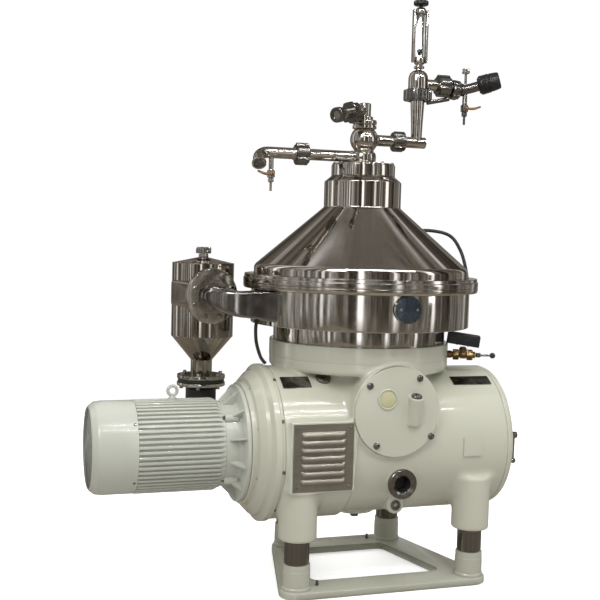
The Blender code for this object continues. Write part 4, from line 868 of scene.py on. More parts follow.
def louvre_panel():
    """Vent plate whose louvres are pressed outward and open at their lower edges."""
    half_w, half_h, thick = 0.106, 0.1135, 0.0025
    slats, pitch, slat_half, rise, depth = 7, 0.0262, 0.078, 0.0180, 0.0100
    columns, rows = 120, 170
    bm = bmesh.new()
    face = LOUVRE_AT + FRONT * thick
    grid = []
    for row in range(rows + 1):
        v = half_h * (2 * row / rows - 1)
        line = []
        for column in range(columns + 1):
            u = half_w * (2 * column / columns - 1)
            nearest = round(v / pitch)
            bulge = 0.0
            if abs(nearest) <= (slats - 1) / 2:
                local = (v - nearest * pitch) / rise + 0.5
                end = (slat_half - abs(u)) / 0.014
                if 0.0 < local < 1.0 and end > 0:
                    lip = min(1.0, local / 0.10)
                    fall = math.cos(0.5 * math.pi * local) ** 0.8
                    bulge = depth * lip * fall * math.sqrt(1 - (1 - min(end, 1.0)) ** 2)
            line.append(bm.verts.new(face + Vector((u, -bulge, v))))
        grid.append(line)
    for below, above in zip(grid, grid[1:]):
        for column in range(columns):
            bm.faces.new((below[column], below[column + 1], above[column + 1], above[column]))
    border = ([grid[0][c] for c in range(columns)] + [grid[r][-1] for r in range(rows)]
              + [grid[-1][c] for c in range(columns, 0, -1)]
              + [grid[r][0] for r in range(rows, 0, -1)])
    back = [bm.verts.new(v.co + Vector((0, thick, 0))) for v in border]
    for spot, vert in enumerate(border):
        after = (spot + 1) % len(border)
        bm.faces.new((vert, border[after], back[after], back[spot]))
    bm.faces.new(back)
    show("louvre_plate", bm, "plate_metal", stands_for=["louvre_panel"], smooth=48)
    corner = [LOUVRE_AT + Vector((sx * 0.093, -thick, sz * 0.100))
              for sx in (-1, 1) for sz in (-1, 1)]
    scatter("louvre_screws", lambda: dome_screw(0.0045, 0.0026), corner, FRONT, "machined_steel")


def oil_port():
    ring = [(0.0290, 0.0), (0.0525, 0.0), (0.0525, 0.0110), (0.0490, 0.0150), (0.0370, 0.0150),
            (0.0300, 0.0105), (0.0290, 0.0100)]
    show("oil_port_flange", lathe(ring, 96, 0.0009), "dark_steel", PORT_AT, aim(FRONT),
         stands_for=["oil_port_ring"])
    deep = [(0, 0.002), (0.0288, 0.002), (0.0288, 0.0480), (0.0284, 0.0480), (0.0270, 0.0060),
            (0, 0.0060)]
    show("oil_port_seal", lathe(deep, 48, 0.0004), "black_rubber", PORT_AT + FRONT * -0.045,
         aim(FRONT))
    places = [PORT_AT + Vector((dx, -0.0150, dz)) for dx, dz in ((-0.027, 0.030), (0.033, -0.025))]
    scatter("oil_port_screws", lambda: socket_screw(0.0055, 0.0022), places, FRONT, "machined_steel")


def end_cover():
    start = BARREL_RIGHT + 0.0006
    outline = [(0, start), (BARREL_R_RIGHT, start), (BARREL_R_RIGHT, start + 0.010),
               (BARREL_R_RIGHT - 0.005, start + 0.022), (BARREL_R_RIGHT - 0.020, start + 0.030),
               (0, start + 0.0337)]
    boss_at = middle("brake_lever") - AXIS
    hub_x = span("brake_lever", 0)[0]
    hub = lathe([(0, -0.034), (0.021, -0.034), (0.0175, -0.022), (0.0170, 0), (0, 0)], 48, 0.002)
    pivot = Vector((hub_x - 0.0003, boss_at.y, span("brake_lever", 2)[1] - 0.015))
    show("end_cover_cast", merged((lathe(outline, 160, 0.008, 6), SHAFT_AT, aim(X)),
                                  (hub, pivot, aim(X))), "cream_paint", stands_for=["end_cover"])
    collar = rod(0.0120, 0, 0.0217, 40, 0.002)
    low = span("brake_lever", 2)[0]
    arm_x = hub_x + 0.0117
    top, ball = Vector((arm_x, pivot.y, pivot.z)), Vector((arm_x, pivot.y, low + 0.0105))
    arm = pipe([top, top.lerp(ball, 0.3), top.lerp(ball, 0.7), ball], 0.0048, 24,
               [1.0, 0.95, 0.85, 0.8])
    show("brake_handle", merged((collar, pivot + X * 0.0003, aim(X)), arm,
                                (ball_of(0.0105, 32, 20), ball, None)),
         "dark_steel", body="brake_lever", stands_for=["brake_lever"])


def drive_bell():
    left = BARREL_LEFT - 0.0003
    outline = [(0.245, left), (0.2715, left), (0.2715, -0.3835, 0.002), (0.2765, -0.3855, 0.003),
               (0.2765, -0.4060), (0.2560, -0.4170, 0.006), (0.2520, -0.4290), (0.2300, -0.4500),
               (0.214, -0.453), (0.214, -0.470), (0.150, -0.470), (0.150, -0.452),
               (0.205, -0.440), (0.246, -0.408)]
    show("drive_bell_cast", lathe(outline, 192, 0.0050, 5), "cream_paint", SHAFT_AT, aim(X),
         stands_for=["drive_bell"])
    heads = []
    for spot in range(10):
        out = barrel_out(25 + 36 * spot)
        heads.append((socket_screw(0.0056, 0.0075), SHAFT_AT + X * -0.3790 + out * 0.2680,
                      aim(out)))
    show("drive_bell_bolts", merged(*heads), "cast_iron")
    ring = round_places(SHAFT_AT + X * -0.4700, X, 0.2100, 8, 22.5)
    scatter("motor_flange_nuts", lambda: bolt(0.017, 0.010, 1.15),
            [p + X * 0.0180 for p in ring], X, "machined_steel")


# ---- motor ---------------------------------------------------------------------------------
def motor_shield():
    """End shield: mounting flange, ribbed neck, and bosses for the tie bolts."""
    face = -0.4703
    outline = [(0.034, face), (0.205, face), (0.205, -0.4843), (0.158, -0.4885, 0.006),
               (0.1475, -0.5000, 0.008), (0.1475, -0.5447), (0.125, -0.5447), (0.125, -0.500),
               (0.034, -0.492)]
    parts = [(lathe(outline, 160, 0.003, 4), SHAFT_AT, aim(X))]
    for spot in range(12):
        angle = math.radians(15 + 30 * spot)
        out = Vector((0, math.cos(angle), math.sin(angle)))
        side = X.cross(out) * 0.0042
        ends = [Vector((x, 0, 0)) + out * r
                for x, r in ((-0.4800, 0.196), (-0.4860, 0.198), (-0.5330, 0.1500),
                             (-0.5330, 0.1440), (-0.4800, 0.1440))]
        rib = loft([[p + side for p in ends], [p - side for p in ends]])
        bmesh.ops.bevel(rib, geom=rib.edges[:], offset=0.0014, segments=2, affect="EDGES")
        parts.append((rib, SHAFT_AT, None))
    screws = []
    for place in round_places(SHAFT_AT + X * -0.525, X, 0.1500, 4, 45):
        lug = [(0, -0.0185), (0.0135, -0.0185), (0.0145, 0.0100), (0.0145, 0.0300), (0, 0.0300)]
        parts.append((lathe(lug, 32, 0.003), place, aim(X)))
        screws.append(place + X * -0.0185)
    show("motor_shield_cast", merged(*parts), "motor_paint", stands_for=["motor_end_shield"])
    scatter("motor_tie_bolts", lambda: bolt(0.013, 0.007), screws, (-1, 0, 0), "machined_steel")


def motor_stator():
    """Stator frame with straight cooling fins all round, the fins falling away at the end shield."""
    left, right = -0.839, -0.5453
    fins, root, tip, bore = 56, 0.1500, 0.1600, 0.098
    part = ((0.0, 0), (0.20, 0), (0.30, 0.12), (0.36, 0.92), (0.42, 1.0), (0.60, 1.0), (0.78, 1.0),
            (0.84, 0.92), (0.90, 0.12))
    loops = []
    for x, share in ((left, 0.92), (left + 0.003, 1.0), (right - 0.022, 1.0), (right - 0.012, 0.55),
                     (right - 0.004, 0.12), (right, 0.10)):
        loop = []
        for fin in range(fins):
            for spot, rise in part:
                angle = 2.0 * math.pi * (fin + spot) / fins
                radius = root + (tip - root) * rise * share
                loop.append(Vector((0, radius * math.cos(angle), radius * math.sin(angle)))
                            + SHAFT_AT + X * x)
        loops.append(loop)
    for x in (right, left):
        loops.append([SHAFT_AT + X * x + (p - SHAFT_AT - X * loops[0][0].x).normalized() * bore
                      for p in loops[0]])
    show("stator_finned", loft(loops, caps=False), "motor_paint", stands_for=["motor_stator"],
         smooth=30)


def motor_fan_cover():
    cover_in = -0.8393
    shell = [(0.1585, cover_in), (0.1585, -0.9480), (0.1550, -0.9700), (0.1430, -0.9860),
             (0.1370, -0.9900), (0.1360, -0.9870), (0.1500, -0.9720), (0.1560, -0.9460),
             (0.1560, cover_in)]
    show("fan_cover_drawn", lathe(shell, 160, 0.012, 6), "motor_paint", SHAFT_AT, aim(X),
         stands_for=["motor_fan_cover"])

    def dished(radius):
        """How far the domed guard lies behind its middle at a radius."""
        return 0.0070 * (radius / 0.138) ** 2

    rings_x, spokes_x = -0.9955, -0.9937
    wires = [torus(SHAFT_AT + X * (rings_x + dished(ring_r)), ring_r, 0.0019, Y, Z, 72, 8)
             for ring_r in np.linspace(0.016, 0.134, 16).tolist()]
    for spoke in range(8):
        angle = math.pi * (spoke + 0.5) / 4
        out = Vector((0, math.cos(angle), math.sin(angle)))
        points = [SHAFT_AT + out * r + X * (spokes_x + dished(r))
                  for r in np.linspace(0.0, 0.1385, 9).tolist()]
        wires.append(pipe(points, 0.0021, 10))
    hub = lathe([(0, -0.9975), (0.014, -0.9970), (0.014, -0.9920), (0, -0.9920)], 32, 0.001)
    show("fan_guard", merged(*wires, (hub, SHAFT_AT, aim(X))), "guard_wire")
    rim_at = SHAFT_AT + X * -0.8500
    heads = [(dome_screw(0.0052, 0.0030), rim_at + out * 0.1583, aim(out))
             for out in map(barrel_out, (38, 142, 218, 322))]
    show("fan_cover_screws", merged(*heads), "machined_steel")


def motor_eye():
    foot = Vector((-0.704, SHAFT_Y, SHAFT_Z + 0.1600))
    centre = Vector((-0.704, SHAFT_Y, 0.6820))
    base = lathe([(0, -0.004), (0.0135, -0.004), (0.0135, 0.0050), (0.0085, 0.0080),
                  (0.0070, 0.0140), (0, 0.0140)], 40, 0.0015)
    ring = torus(centre, 0.0160, 0.0056, X, Z, 56, 20)
    show("lifting_eye", merged((base, foot, None), ring), "motor_paint",
         stands_for=["motor_lifting_eye"])


# ---- steel top works -----------------------------------------------------------------------
DRUM_BOTTOM, DRUM_TOP = span("sludge_drum", 2)[0], 1.0347
DRUM_R, RING_R, HOOD_R = 0.400, 0.430, 0.392
RING_LOW, RING_TOP = span("clamp_ring", 2)
NECK_R, NECK_BOTTOM, NECK_TOP = 0.141, 1.333, 1.426
CAP_R, (CAP_BOTTOM, CAP_TOP) = 0.1165, span("hood_cap", 2)
FLANGE_AT, FLANGE_R = Vector((-0.563, -0.020, 1.006)), 0.0975
DUCT_BOLTS_R, SLEEVE_BOLTS_R = 0.0760, 0.0780            # bolt circles of the two flanges
DUCT_FLOW = Vector((-0.25, 0.968, 0.0)).normalized()
CYCLONE = Vector((-0.546, 0.200, 0.0))


def drum_skirt():
    low, high = span("drum_skirt", 2)
    outline = [(0.285, low), (0.315, low), (0.315, high), (0.280, high), (0.280, high - 0.006),
               (0.309, high - 0.006), (0.309, low + 0.006), (0.285, low + 0.006)]
    show("skirt_polished", lathe(outline, 192, 0.0012), "polished_steel",
         stands_for=["drum_skirt"])


def squared_circle(centre, across, upward, half_w, half_h, power, steps=64):
    """Loop that runs from an ellipse, at power 2, to almost a rectangle at power 10."""
    loop = []
    for step in range(steps):
        angle = 2.0 * math.pi * (step + 0.5) / steps
        c, s = math.cos(angle), math.sin(angle)
        u = math.copysign(abs(c) ** (2.0 / power), c) * half_w
        v = math.copysign(abs(s) ** (2.0 / power), s) * half_h
        loop.append(centre + across * u + upward * v)
    return loop


def duct_sections():
    """Square at the drum, round at the flange after its bend."""
    straight, bend_r, turn, steps = Vector((-0.466, -0.105, 0.983)), 0.100, math.acos(0.25), 14
    sections = [squared_circle(Vector((x, -0.105, z)), Y, Z, wide, high, 12)
                for x, z, wide, high in ((-0.345, 0.9775, 0.062, 0.0555), (-0.372, 0.978, 0.057, 0.0550),
                                         (-0.396, 0.979, 0.050, 0.0520), (-0.425, 0.981, 0.046, 0.0485),
                                         (straight.x, straight.z, 0.045, 0.0450))]
    for step in range(1, steps + 1):
        share = step / steps
        angle = turn * share
        rise = share * share * (3 - 2 * share)
        centre = straight + Vector((-bend_r * math.sin(angle), bend_r * (1 - math.cos(angle)),
                                    (FLANGE_AT.z - straight.z) * rise))
        across = Vector((math.sin(angle), math.cos(angle), 0))
        half = 0.045 - 0.006 * share
        sections.append(squared_circle(centre, across, Z, half, half, 2 + 10 * (1 - share) ** 2))
    sections.append([point + DUCT_FLOW * 0.010 for point in sections[-1]])
    return sections


def flange(radius, bore, thick):
    """Flat flange round its own Z axis, from 0 to its thickness."""
    return lathe([(bore, 0), (radius, 0), (radius, thick), (bore, thick)], 96, 0.0012)


def sludge_drum():
    wall = 0.005
    shell = [(0.230, DRUM_BOTTOM), (DRUM_R, DRUM_BOTTOM), (DRUM_R, DRUM_TOP),
             (DRUM_R - wall, DRUM_TOP), (DRUM_R - wall, DRUM_BOTTOM + wall),
             (0.230, DRUM_BOTTOM + wall)]
    angle = math.radians(-88)
    out = Vector((math.cos(angle), math.sin(angle), 0))
    hatch_at = out * DRUM_R + Z * 0.988
    neck = rod(0.0435, -0.020, 0.0110, 72, 0.001)
    weld = torus(hatch_at + out * -0.0005, 0.0442, 0.0018, Z.cross(out), Z, 72, 8)
    show("drum_shell", merged(lathe(shell, 224, 0.0022), weld, (neck, hatch_at, aim(out))),
         "polished_steel", stands_for=["sludge_drum"])
    show("sludge_duct", loft(duct_sections()), "duct_steel")
    show("duct_flange", flange(FLANGE_R, 0.036, 0.0106), "ring_steel",
         FLANGE_AT - DUCT_FLOW * 0.011, aim(DUCT_FLOW))
    lid = [(0, 0.0), (0.0465, 0.0), (0.0465, 0.0058), (0, 0.0075)]
    lid_at = hatch_at + out * 0.0115
    show("hatch_lid", lathe(lid, 96, 0.0016), "film_steel", lid_at, aim(out),
         stands_for=["inspection_cover"])
    side = Z.cross(out)
    places = [lid_at + out * 0.0070 + side * s for s in (-0.030, 0.030)]
    scatter("hatch_screws", lambda: dome_screw(0.0052, 0.0040), places, out, "machined_steel")
    bolts = round_places(FLANGE_AT - DUCT_FLOW * 0.0112, -DUCT_FLOW, DUCT_BOLTS_R, 8, 22.5)
    scatter("duct_flange_bolts", lambda: bolt(0.0150, 0.0090), bolts, -DUCT_FLOW,
            "pipe_steel")


def clamp_ring():
    """Ring with a raised bright rim and two grooves turned in its lower half."""
    low, high, bore = RING_LOW, RING_TOP, HOOD_R + 0.0035
    groove, deep = 0.0016, 0.0022
    outline = [(bore, low), (RING_R - 0.003, low)]
    for level in (low + 0.010, low + 0.0185):
        outline += [(RING_R, level - groove), (RING_R - deep, level), (RING_R, level + groove)]
    outline += [(RING_R, high - 0.0145), (RING_R - 0.0035, high - 0.0120),
                (RING_R - 0.0035, high - 0.0015), (RING_R - 0.006, high), (bore, high)]
    show("clamp_ring_turned", lathe(outline, 224, 0.0008, 2), "ring_steel",
         stands_for=["clamp_ring"])


def hood():
    wall = 0.005
    outline = [(HOOD_R - wall, 1.039), (HOOD_R, 1.039), (HOOD_R, 1.1160, 0.026),
               (NECK_R, NECK_BOTTOM, 0.006),
               (NECK_R, NECK_TOP), (CAP_R, CAP_BOTTOM - 0.0003), (0.096, CAP_BOTTOM - 0.0003),
               (0.096, CAP_BOTTOM - wall), (CAP_R - 0.004, CAP_BOTTOM - wall - 0.001),
               (NECK_R - wall, NECK_TOP - 0.001), (NECK_R - wall, NECK_BOTTOM - 0.003),
               (HOOD_R - wall, 1.1120, 0.022)]
    show("hood_spun", lathe(outline, 224, 0.0050, 8), "hood_steel", stands_for=["hood"])
    low, high, bore = CAP_BOTTOM, CAP_TOP, 0.0238
    cap = [(0.096, low), (CAP_R, low), (CAP_R, high - 0.0065), (CAP_R - 0.0025, high - 0.0050),
           (CAP_R - 0.0025, high), (0.080, high), (0.079, high - 0.002), (bore, high - 0.002),
           (bore, high - 0.008), (0.096, high - 0.008)]
    show("hood_cap_turned", lathe(cap, 128, 0.0010), "polished_steel", stands_for=["hood_cap"])
    scatter("hood_cap_bolts", lambda: hex_head(0.0095, 0.0062),
            round_places(Z * high, Z, CAP_R - 0.0105, 8, 18), Z, "machined_steel")


def cyclone():
    lid = 1.137
    outline = [(0, 0.692), (0.0396, 0.692), (0.0396, 0.7560), (0.1142, 0.846), (0.1142, 1.116),
               (0.018, lid), (0, lid)]
    body = lathe(outline, 160, 0.0022)
    inlet = []
    across = Vector((DUCT_FLOW.y, -DUCT_FLOW.x, 0))
    for reach, power in zip(np.linspace(0.0, 0.21, 12).tolist(), np.linspace(2, 10, 12).tolist()):
        half = 0.039 + 0.008 * min(1.0, reach / 0.04)
        centre = FLANGE_AT + DUCT_FLOW * (0.004 + reach) - across * (half - 0.039)
        inlet.append(squared_circle(centre, across, Z, half, half, power))
    parts = [(body, CYCLONE, None), loft(inlet),
             (flange(FLANGE_R, 0.036, 0.0107), FLANGE_AT + DUCT_FLOW * 0.0003, aim(DUCT_FLOW)),
             (flange(0.089, 0.036, 0.0135), CYCLONE + Z * 0.6873, None)]
    for level, radius in ((1.1158, 0.1139), (0.8465, 0.1139), (0.7565, 0.0398)):
        parts.append(torus(CYCLONE + Z * level, radius, 0.0009, X, Y, 96, 6))
    show("cyclone_welded", merged(*parts), "cyclone_steel", stands_for=["cyclone_body"])
    cap = [(0, lid + 0.0003), (0.0185, lid + 0.0003), (0.0175, 1.150), (0, 1.150)]
    knob = notched(0.0285, 0.004, 0.0235, 30, 0.055, 0.5, 0.0022, 6)
    show("cyclone_knob", merged((lathe(cap, 48, 0.0012), CYCLONE, None),
                                (knob, CYCLONE + Z * 1.1628, None),
                                (lathe([(0, 1.160), (0.0255, 1.160), (0.0255, 1.1743),
                                        (0, 1.1752)], 48, 0.0006), CYCLONE, None)),
         "machined_steel", stands_for=["cyclone_cap"])
    valve = [(0.036, 0.530), (0.0520, 0.530), (0.0565, 0.540), (0.0565, 0.566), (0.0535, 0.572),
             (0.0565, 0.578), (0.0565, 0.648), (0.0505, 0.6605), (0.0880, 0.6605),
             (0.0880, 0.6618), (0.0700, 0.6740), (0.0860, 0.6745), (0.0860, 0.6862),
             (0.036, 0.6862)]
    show("discharge_valve_rubber", lathe(valve, 96, 0.0022), "black_rubber", CYCLONE,
         stands_for=["discharge_valve"])
    show("valve_backing_flange", merged((flange(0.0895, 0.0600, 0.0120), CYCLONE + Z * 0.6612,
                                         None)), "polished_steel")
    bolts = round_places(CYCLONE + Z * 0.7010, Z, SLEEVE_BOLTS_R, 6, 10)
    scatter("cyclone_flange_bolts", lambda: bolt(0.0125, 0.0070), bolts, Z, "machined_steel")
    nuts = round_places(CYCLONE + Z * 0.6610, Z, SLEEVE_BOLTS_R, 6, 10)
    scatter("cyclone_flange_nuts", lambda: bolt(0.0125, 0.0080), nuts, -Z, "machined_steel")
    bolts = round_places(FLANGE_AT + DUCT_FLOW * 0.0112, DUCT_FLOW, DUCT_BOLTS_R, 8, 22.5)
    scatter("duct_flange_nuts", lambda: bolt(0.0125, 0.0085), bolts, DUCT_FLOW, "machined_steel")


# ---- product piping ------------------------------------------------------------------------
PIPE_R, FEED_R = 0.0205, 0.0223
SKIM_Z, CREAM_Z, METER_Z = 1.518, 1.582, 1.798
RISER_X = middle("flow_meter_glass").x - AXIS.x - 0.002
SKIM_NUT_X, CREAM_NUT_X = (middle(n).x - AXIS.x for n in ("skim_union_nut", "cream_union_nut"))
NUT_LOW, NUT_TOP = 1.736, 1.777


def tube(points, radius, bore, sides=40):
    """Pipe with a wall, open at both ends."""
    frames = path_frames(points)
    sections = []
    for reach in (radius, bore):
        loops = []
        for point, side, over in frames:
            loops.append([point + reach * (math.cos(a) * side + math.sin(a) * over)
                          for a in turns(sides)])
        sections += loops if reach == radius else loops[::-1]
    return loft(sections, caps=False)


def union_nut(outer, bore, length, slots=6):
    """Dairy union nut: rounded body with spanner slots of a half-round section."""
    depth, half, chamfer, points = 0.155, length / 2, 0.0035, 96
    loops = []
    for height, shrink, cut in ((-half, chamfer, 0.6), (-half + chamfer, 0, 1.0),
                                (half - chamfer, 0, 1.0), (half, chamfer, 0.6)):
        loop = []
        for angle in turns(points):
            wave = max(0.0, math.cos(slots * angle)) ** 0.7
            reach = (outer - shrink) * (1.0 - depth * cut * wave)
            loop.append(Vector((reach * math.cos(angle), reach * math.sin(angle), height)))
        loops.append(loop)
    for height in (half, -half):
        loops.append([Vector((bore * math.cos(a), bore * math.sin(a), height))
                      for a in turns(points)])
    return loft(loops, caps=False)


def cock_body(drop=0.118):
    """Sampling cock that hangs from a pipe, round its own Z axis, with its spout below."""
    outline = [(0, -drop), (0.0046, -drop), (0.0046, -0.0880), (0.0100, -0.0860),
               (0.0108, -0.0740), (0.0080, -0.0715), (0.0140, -0.0690), (0.0145, -0.0480),
               (0.0125, -0.0440), (0.0090, -0.0430), (0.0090, 0), (0, 0)]
    return lathe(outline, 40, 0.0010)


def sample_lever(name, node, tip_side, body):
    """Flat plastic lever on a round hub that faces the front."""
    low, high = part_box(node)
    pivot_x = (high.x - 0.0075 if tip_side < 0 else low.x + 0.0075) - AXIS.x
    pivot = Vector((pivot_x, high.y, low.z + 0.0075))
    hub = lathe([(0, 0), (0.0078, 0), (0.0074, 0.0100), (0, 0.0100)], 32, 0.0018)
    root = pivot + Vector((0, -0.0055, 0))
    tip = pivot + Vector((tip_side * 0.056, -0.008, 0.010))
    route = smooth_route([root, root.lerp(tip, 0.5) + Vector((0, 0, -0.004)), tip], 8)
    radii = [0.85 + 0.22 * math.sin(math.pi * min(1.0, spot / 14)) for spot in range(len(route))]
    radii[-1] = 0.55
    show(name, merged((hub, pivot, aim(FRONT)), pipe(route, 0.0046, 20, radii)),
         "amber_plastic", body=body, stands_for=[node])
    nut = [(0, 0.0095), (0.0042, 0.0095), (0.0042, 0.0125), (0, 0.0132)]
    show(f"{name}_screw", lathe(nut, 24, 0.0006), "brass", pivot, aim(FRONT), body=body)


def outlet_bodies():
    bore = FEED_R + 0.0015
    low = span("skim_outlet_body", 2)[0]
    lower = [(bore, low), (0.040, low), (0.0425, low + 0.006), (0.0448, 1.508), (0.0458, 1.519),
             (0.0440, 1.530), (0.0405, 1.5355), (0.035, 1.5385), (bore, 1.5385)]
    stub = pipe([X * -0.030 + Z * SKIM_Z, X * (SKIM_NUT_X - 0.0003) + Z * SKIM_Z], PIPE_R, 48)
    weld = torus(Vector((-0.0462, 0, SKIM_Z)), 0.0212, 0.0018, Y, Z, 48, 8)
    show("skim_chamber", merged(lathe(lower, 96, 0.0040, 4), stub, weld), "pipe_steel",
         stands_for=["skim_outlet_body"])
    radius, base = 0.0515, 1.5388
    ball = [(bore, base), (0.036, base), (0.036, base + 0.003)]
    for degrees in range(-42, 66, 6):
        angle = math.radians(degrees)
        ball.append((radius * math.cos(angle), CREAM_Z + radius * math.sin(angle)))
    ball += [(0.0235, 1.6300), (bore - 0.0005, 1.6300)]
    stub = pipe([X * 0.030 + Z * CREAM_Z, X * (CREAM_NUT_X - 0.0003) + Z * CREAM_Z], PIPE_R, 48)
    weld = torus(Vector((0.0475, 0, CREAM_Z)), 0.0212, 0.0018, Y, Z, 48, 8)
    show("cream_chamber", merged(lathe(ball, 112, 0.0012), stub, weld), "pipe_steel",
         stands_for=["cream_outlet_body"])


def skim_outlet():
    begin = Vector((SKIM_NUT_X - 0.0003, 0, SKIM_Z))
    corner = Vector((-0.402, 0.0, SKIM_Z))
    finish = corner + Vector((-0.10, -0.66, -0.62)).normalized() * 0.066
    direction = (finish - corner).normalized()
    wall, cock_x = 0.0022, -0.352
    elbow = tube(bend([begin, corner, finish], 0.045, 16), PIPE_R, PIPE_R - wall)
    lip = lathe([(PIPE_R - wall, -0.0140), (0.0215, -0.0140), (0.0262, -0.0060), (0.0262, -0.0005),
                 (0.0240, 0.0), (0.0232, -0.0012), (PIPE_R - wall, -0.0012)], 64, 0.0005)
    collar = lathe([(PIPE_R - 0.001, -0.007), (0.0245, -0.007), (0.0245, 0.0), (PIPE_R - 0.001, 0.0)],
                   64, 0.001)
    cock_at = Vector((cock_x, 0, SKIM_Z - PIPE_R + 0.002))
    show("skim_elbow", merged(elbow, (lip, finish, aim(direction)),
                              (collar, begin - X * 0.0232, aim(X)), (cock_body(), cock_at, None)),
         "pipe_steel", stands_for=["skim_outlet_elbow"])
    blank = lathe([(0, -0.0075), (0.0186, -0.0075), (0.0186, -0.0035), (0.0150, -0.0028),
                   (0, -0.0028)], 56, 0.0006)
    show("skim_blanking_disc", blank, "cast_iron", finish, aim(direction))
    show("skim_nut", union_nut(0.040, PIPE_R + 0.0006, 0.046), "dark_steel",
         Vector((SKIM_NUT_X, 0, SKIM_Z)), aim(X, 0.25), stands_for=["skim_union_nut"])
    sample_lever("skim_lever", "skim_sample_lever", -1, "skim_sample_lever")


def cream_outlet():
    end = RISER_X + 0.033
    level = [Vector((CREAM_NUT_X + 0.0003, 0, CREAM_Z)), Vector((end, 0, CREAM_Z))]
    cap = lathe([(0, 0), (PIPE_R, 0), (PIPE_R + 0.0006, 0.002), (PIPE_R - 0.001, 0.0045),
                 (0, 0.0045)], 48, 0.0012)
    riser = [(0, CREAM_Z - 0.002), (PIPE_R - 0.0006, CREAM_Z - 0.002), (PIPE_R, 1.615),
             (0.0222, 1.660), (0.0250, 1.715), (0.0258, 1.7345), (0.0258, NUT_TOP - 0.0203),
             (0, NUT_TOP - 0.0203)]
    weld = torus(Vector((RISER_X, 0, CREAM_Z + 0.0172)), PIPE_R + 0.0010, 0.0016, X, Y, 48, 8)
    show("riser_tee", merged(pipe(level, PIPE_R, 48), (cap, level[1] - X * 0.0035, aim(X)),
                             (lathe(riser, 64, 0.003), Vector((RISER_X, 0, 0)), None), weld),
         "pipe_steel", stands_for=["cream_riser_pipe"])
    show("cream_nut", union_nut(0.0375, PIPE_R + 0.0006, 0.044), "dark_steel",
         Vector((CREAM_NUT_X, 0, CREAM_Z)), aim(X, 0.4), stands_for=["cream_union_nut"])
    middle_z = (NUT_LOW + NUT_TOP) / 2
    lug = block((0.092, 0.019, 0.016), 0.0055, 4)
    lug_turn = Quaternion(Y, -0.22)
    lug_at = Vector((RISER_X + 0.083, 0, NUT_LOW + 0.006))
    nut_at = Vector((RISER_X, 0, middle_z))
    show("valve_nut", merged((union_nut(0.053, 0.0312, NUT_TOP - NUT_LOW), nut_at, None),
                             (lug, lug_at, lug_turn)), "dark_steel",
         stands_for=["regulating_valve_nut"])


def regulating_valve():
    low = NUT_TOP - 0.0197
    dome = [(0, low), (0.0283, low), (0.0283, NUT_TOP), (0.0364, NUT_TOP + 0.0006),
            (0.0364, 1.8165), (0.0350, 1.8280), (0.0300, 1.8380), (0.0205, 1.8455),
            (0.0105, 1.8490), (0.0105, 1.8548), (0, 1.8548)]
    outlet = pipe([Vector((RISER_X, 0, METER_Z)), Vector((RISER_X + 0.086, 0, METER_Z))], PIPE_R, 48)
    weld = torus(Vector((RISER_X + 0.0312, 0, METER_Z)), 0.0212, 0.0016, Y, Z, 48, 8)
    show("valve_dome", merged((lathe(dome, 112, 0.0022), Vector((RISER_X, 0, 0)), None), outlet,
                              weld), "pipe_steel", stands_for=["regulating_valve"])


def metered_outlet():
    start = Vector((RISER_X + 0.0873, 0, METER_Z))
    knots = [start, start + X * 0.04, Vector((0.372, 0.004, 1.787)),
             Vector((0.415, -0.002, 1.795)), Vector((0.447, -0.018, 1.805))]
    tee_x, cock_drop = 0.402, 0.118
    route = smooth_route(knots, 10)
    collar = lathe([(0.017, -0.005), (0.0235, -0.005), (0.0240, 0.0), (0.0235, 0.005),
                    (0.017, 0.005)], 48, 0.0014)
    cock_at = Vector((tee_x, 0, METER_Z - PIPE_R))
    show("metered_pipe", merged(tube(route, 0.0185, 0.0165), (cock_body(cock_drop), cock_at, None),
                                (collar, Vector((0.3865, 0.0012, 1.7895)), aim(X))),
         "dark_steel", stands_for=["metered_outlet_pipe"])
    show("metered_nut", union_nut(0.0410, PIPE_R + 0.0006, 0.047), "dark_steel",
         start + X * 0.014, aim(X, 0.1), stands_for=["metered_union_nut"])
    show("tee_union_nut", union_nut(0.0365, 0.0190, 0.032), "dark_steel",
         Vector((0.3585, 0.003, 1.7872)), aim(Vector((1, 0.05, -0.10)), 0.5))
    coarse = smooth_route(knots, 2)
    heading = (coarse[-1] - coarse[-2]).normalized()
    coupling = [(0.010, 0.0), (0.026, 0.0), (0.034, 0.007), (0.0365, 0.012)]
    for ridge in range(5):
        at = 0.0145 + ridge * 0.0055
        coupling += [(0.0365, at), (0.0345, at + 0.0022), (0.0365, at + 0.0044)]
    coupling += [(0.0360, 0.0425), (0.0325, 0.0445), (0.0345, 0.0475), (0.0335, 0.0615),
                 (0.0310, 0.0780), (0.0270, 0.0820), (0.0180, 0.0820), (0.0180, 0.0700),
                 (0.0100, 0.0700)]
    show("threaded_coupling", lathe(coupling, 96, 0.0008), "black_plastic",
         coarse[-1] + heading * 0.0003, aim(heading), stands_for=["hose_coupling"],
         slot="black_rubber")
    knob_at = Vector((tee_x + 0.001, 0, METER_Z + 0.0152))
    stem = lathe([(0, 0), (0.0048, 0), (0.0048, 0.0365), (0.0105, 0.0372), (0.0105, 0.0400),
                  (0, 0.0400)], 32, 0.0008)
    grip = notched(0.0145, 0.003, 0.0178, 18, 0.07, 0.5, 0.0018, 6)
    top = lathe([(0, 0.038), (0.0128, 0.038), (0.0128, 0.0560), (0, 0.0562)], 40, 0.0012)
    show("sample_knob", merged((stem, knob_at, None), (grip, knob_at + Z * 0.0466, None),
                               (top, knob_at, None)), "machined_steel",
         body="cream_sample_knob", stands_for=["cream_sample_knob"])
    sample_lever("cream_lever", "cream_sample_lever", 1, "cream_sample_lever")


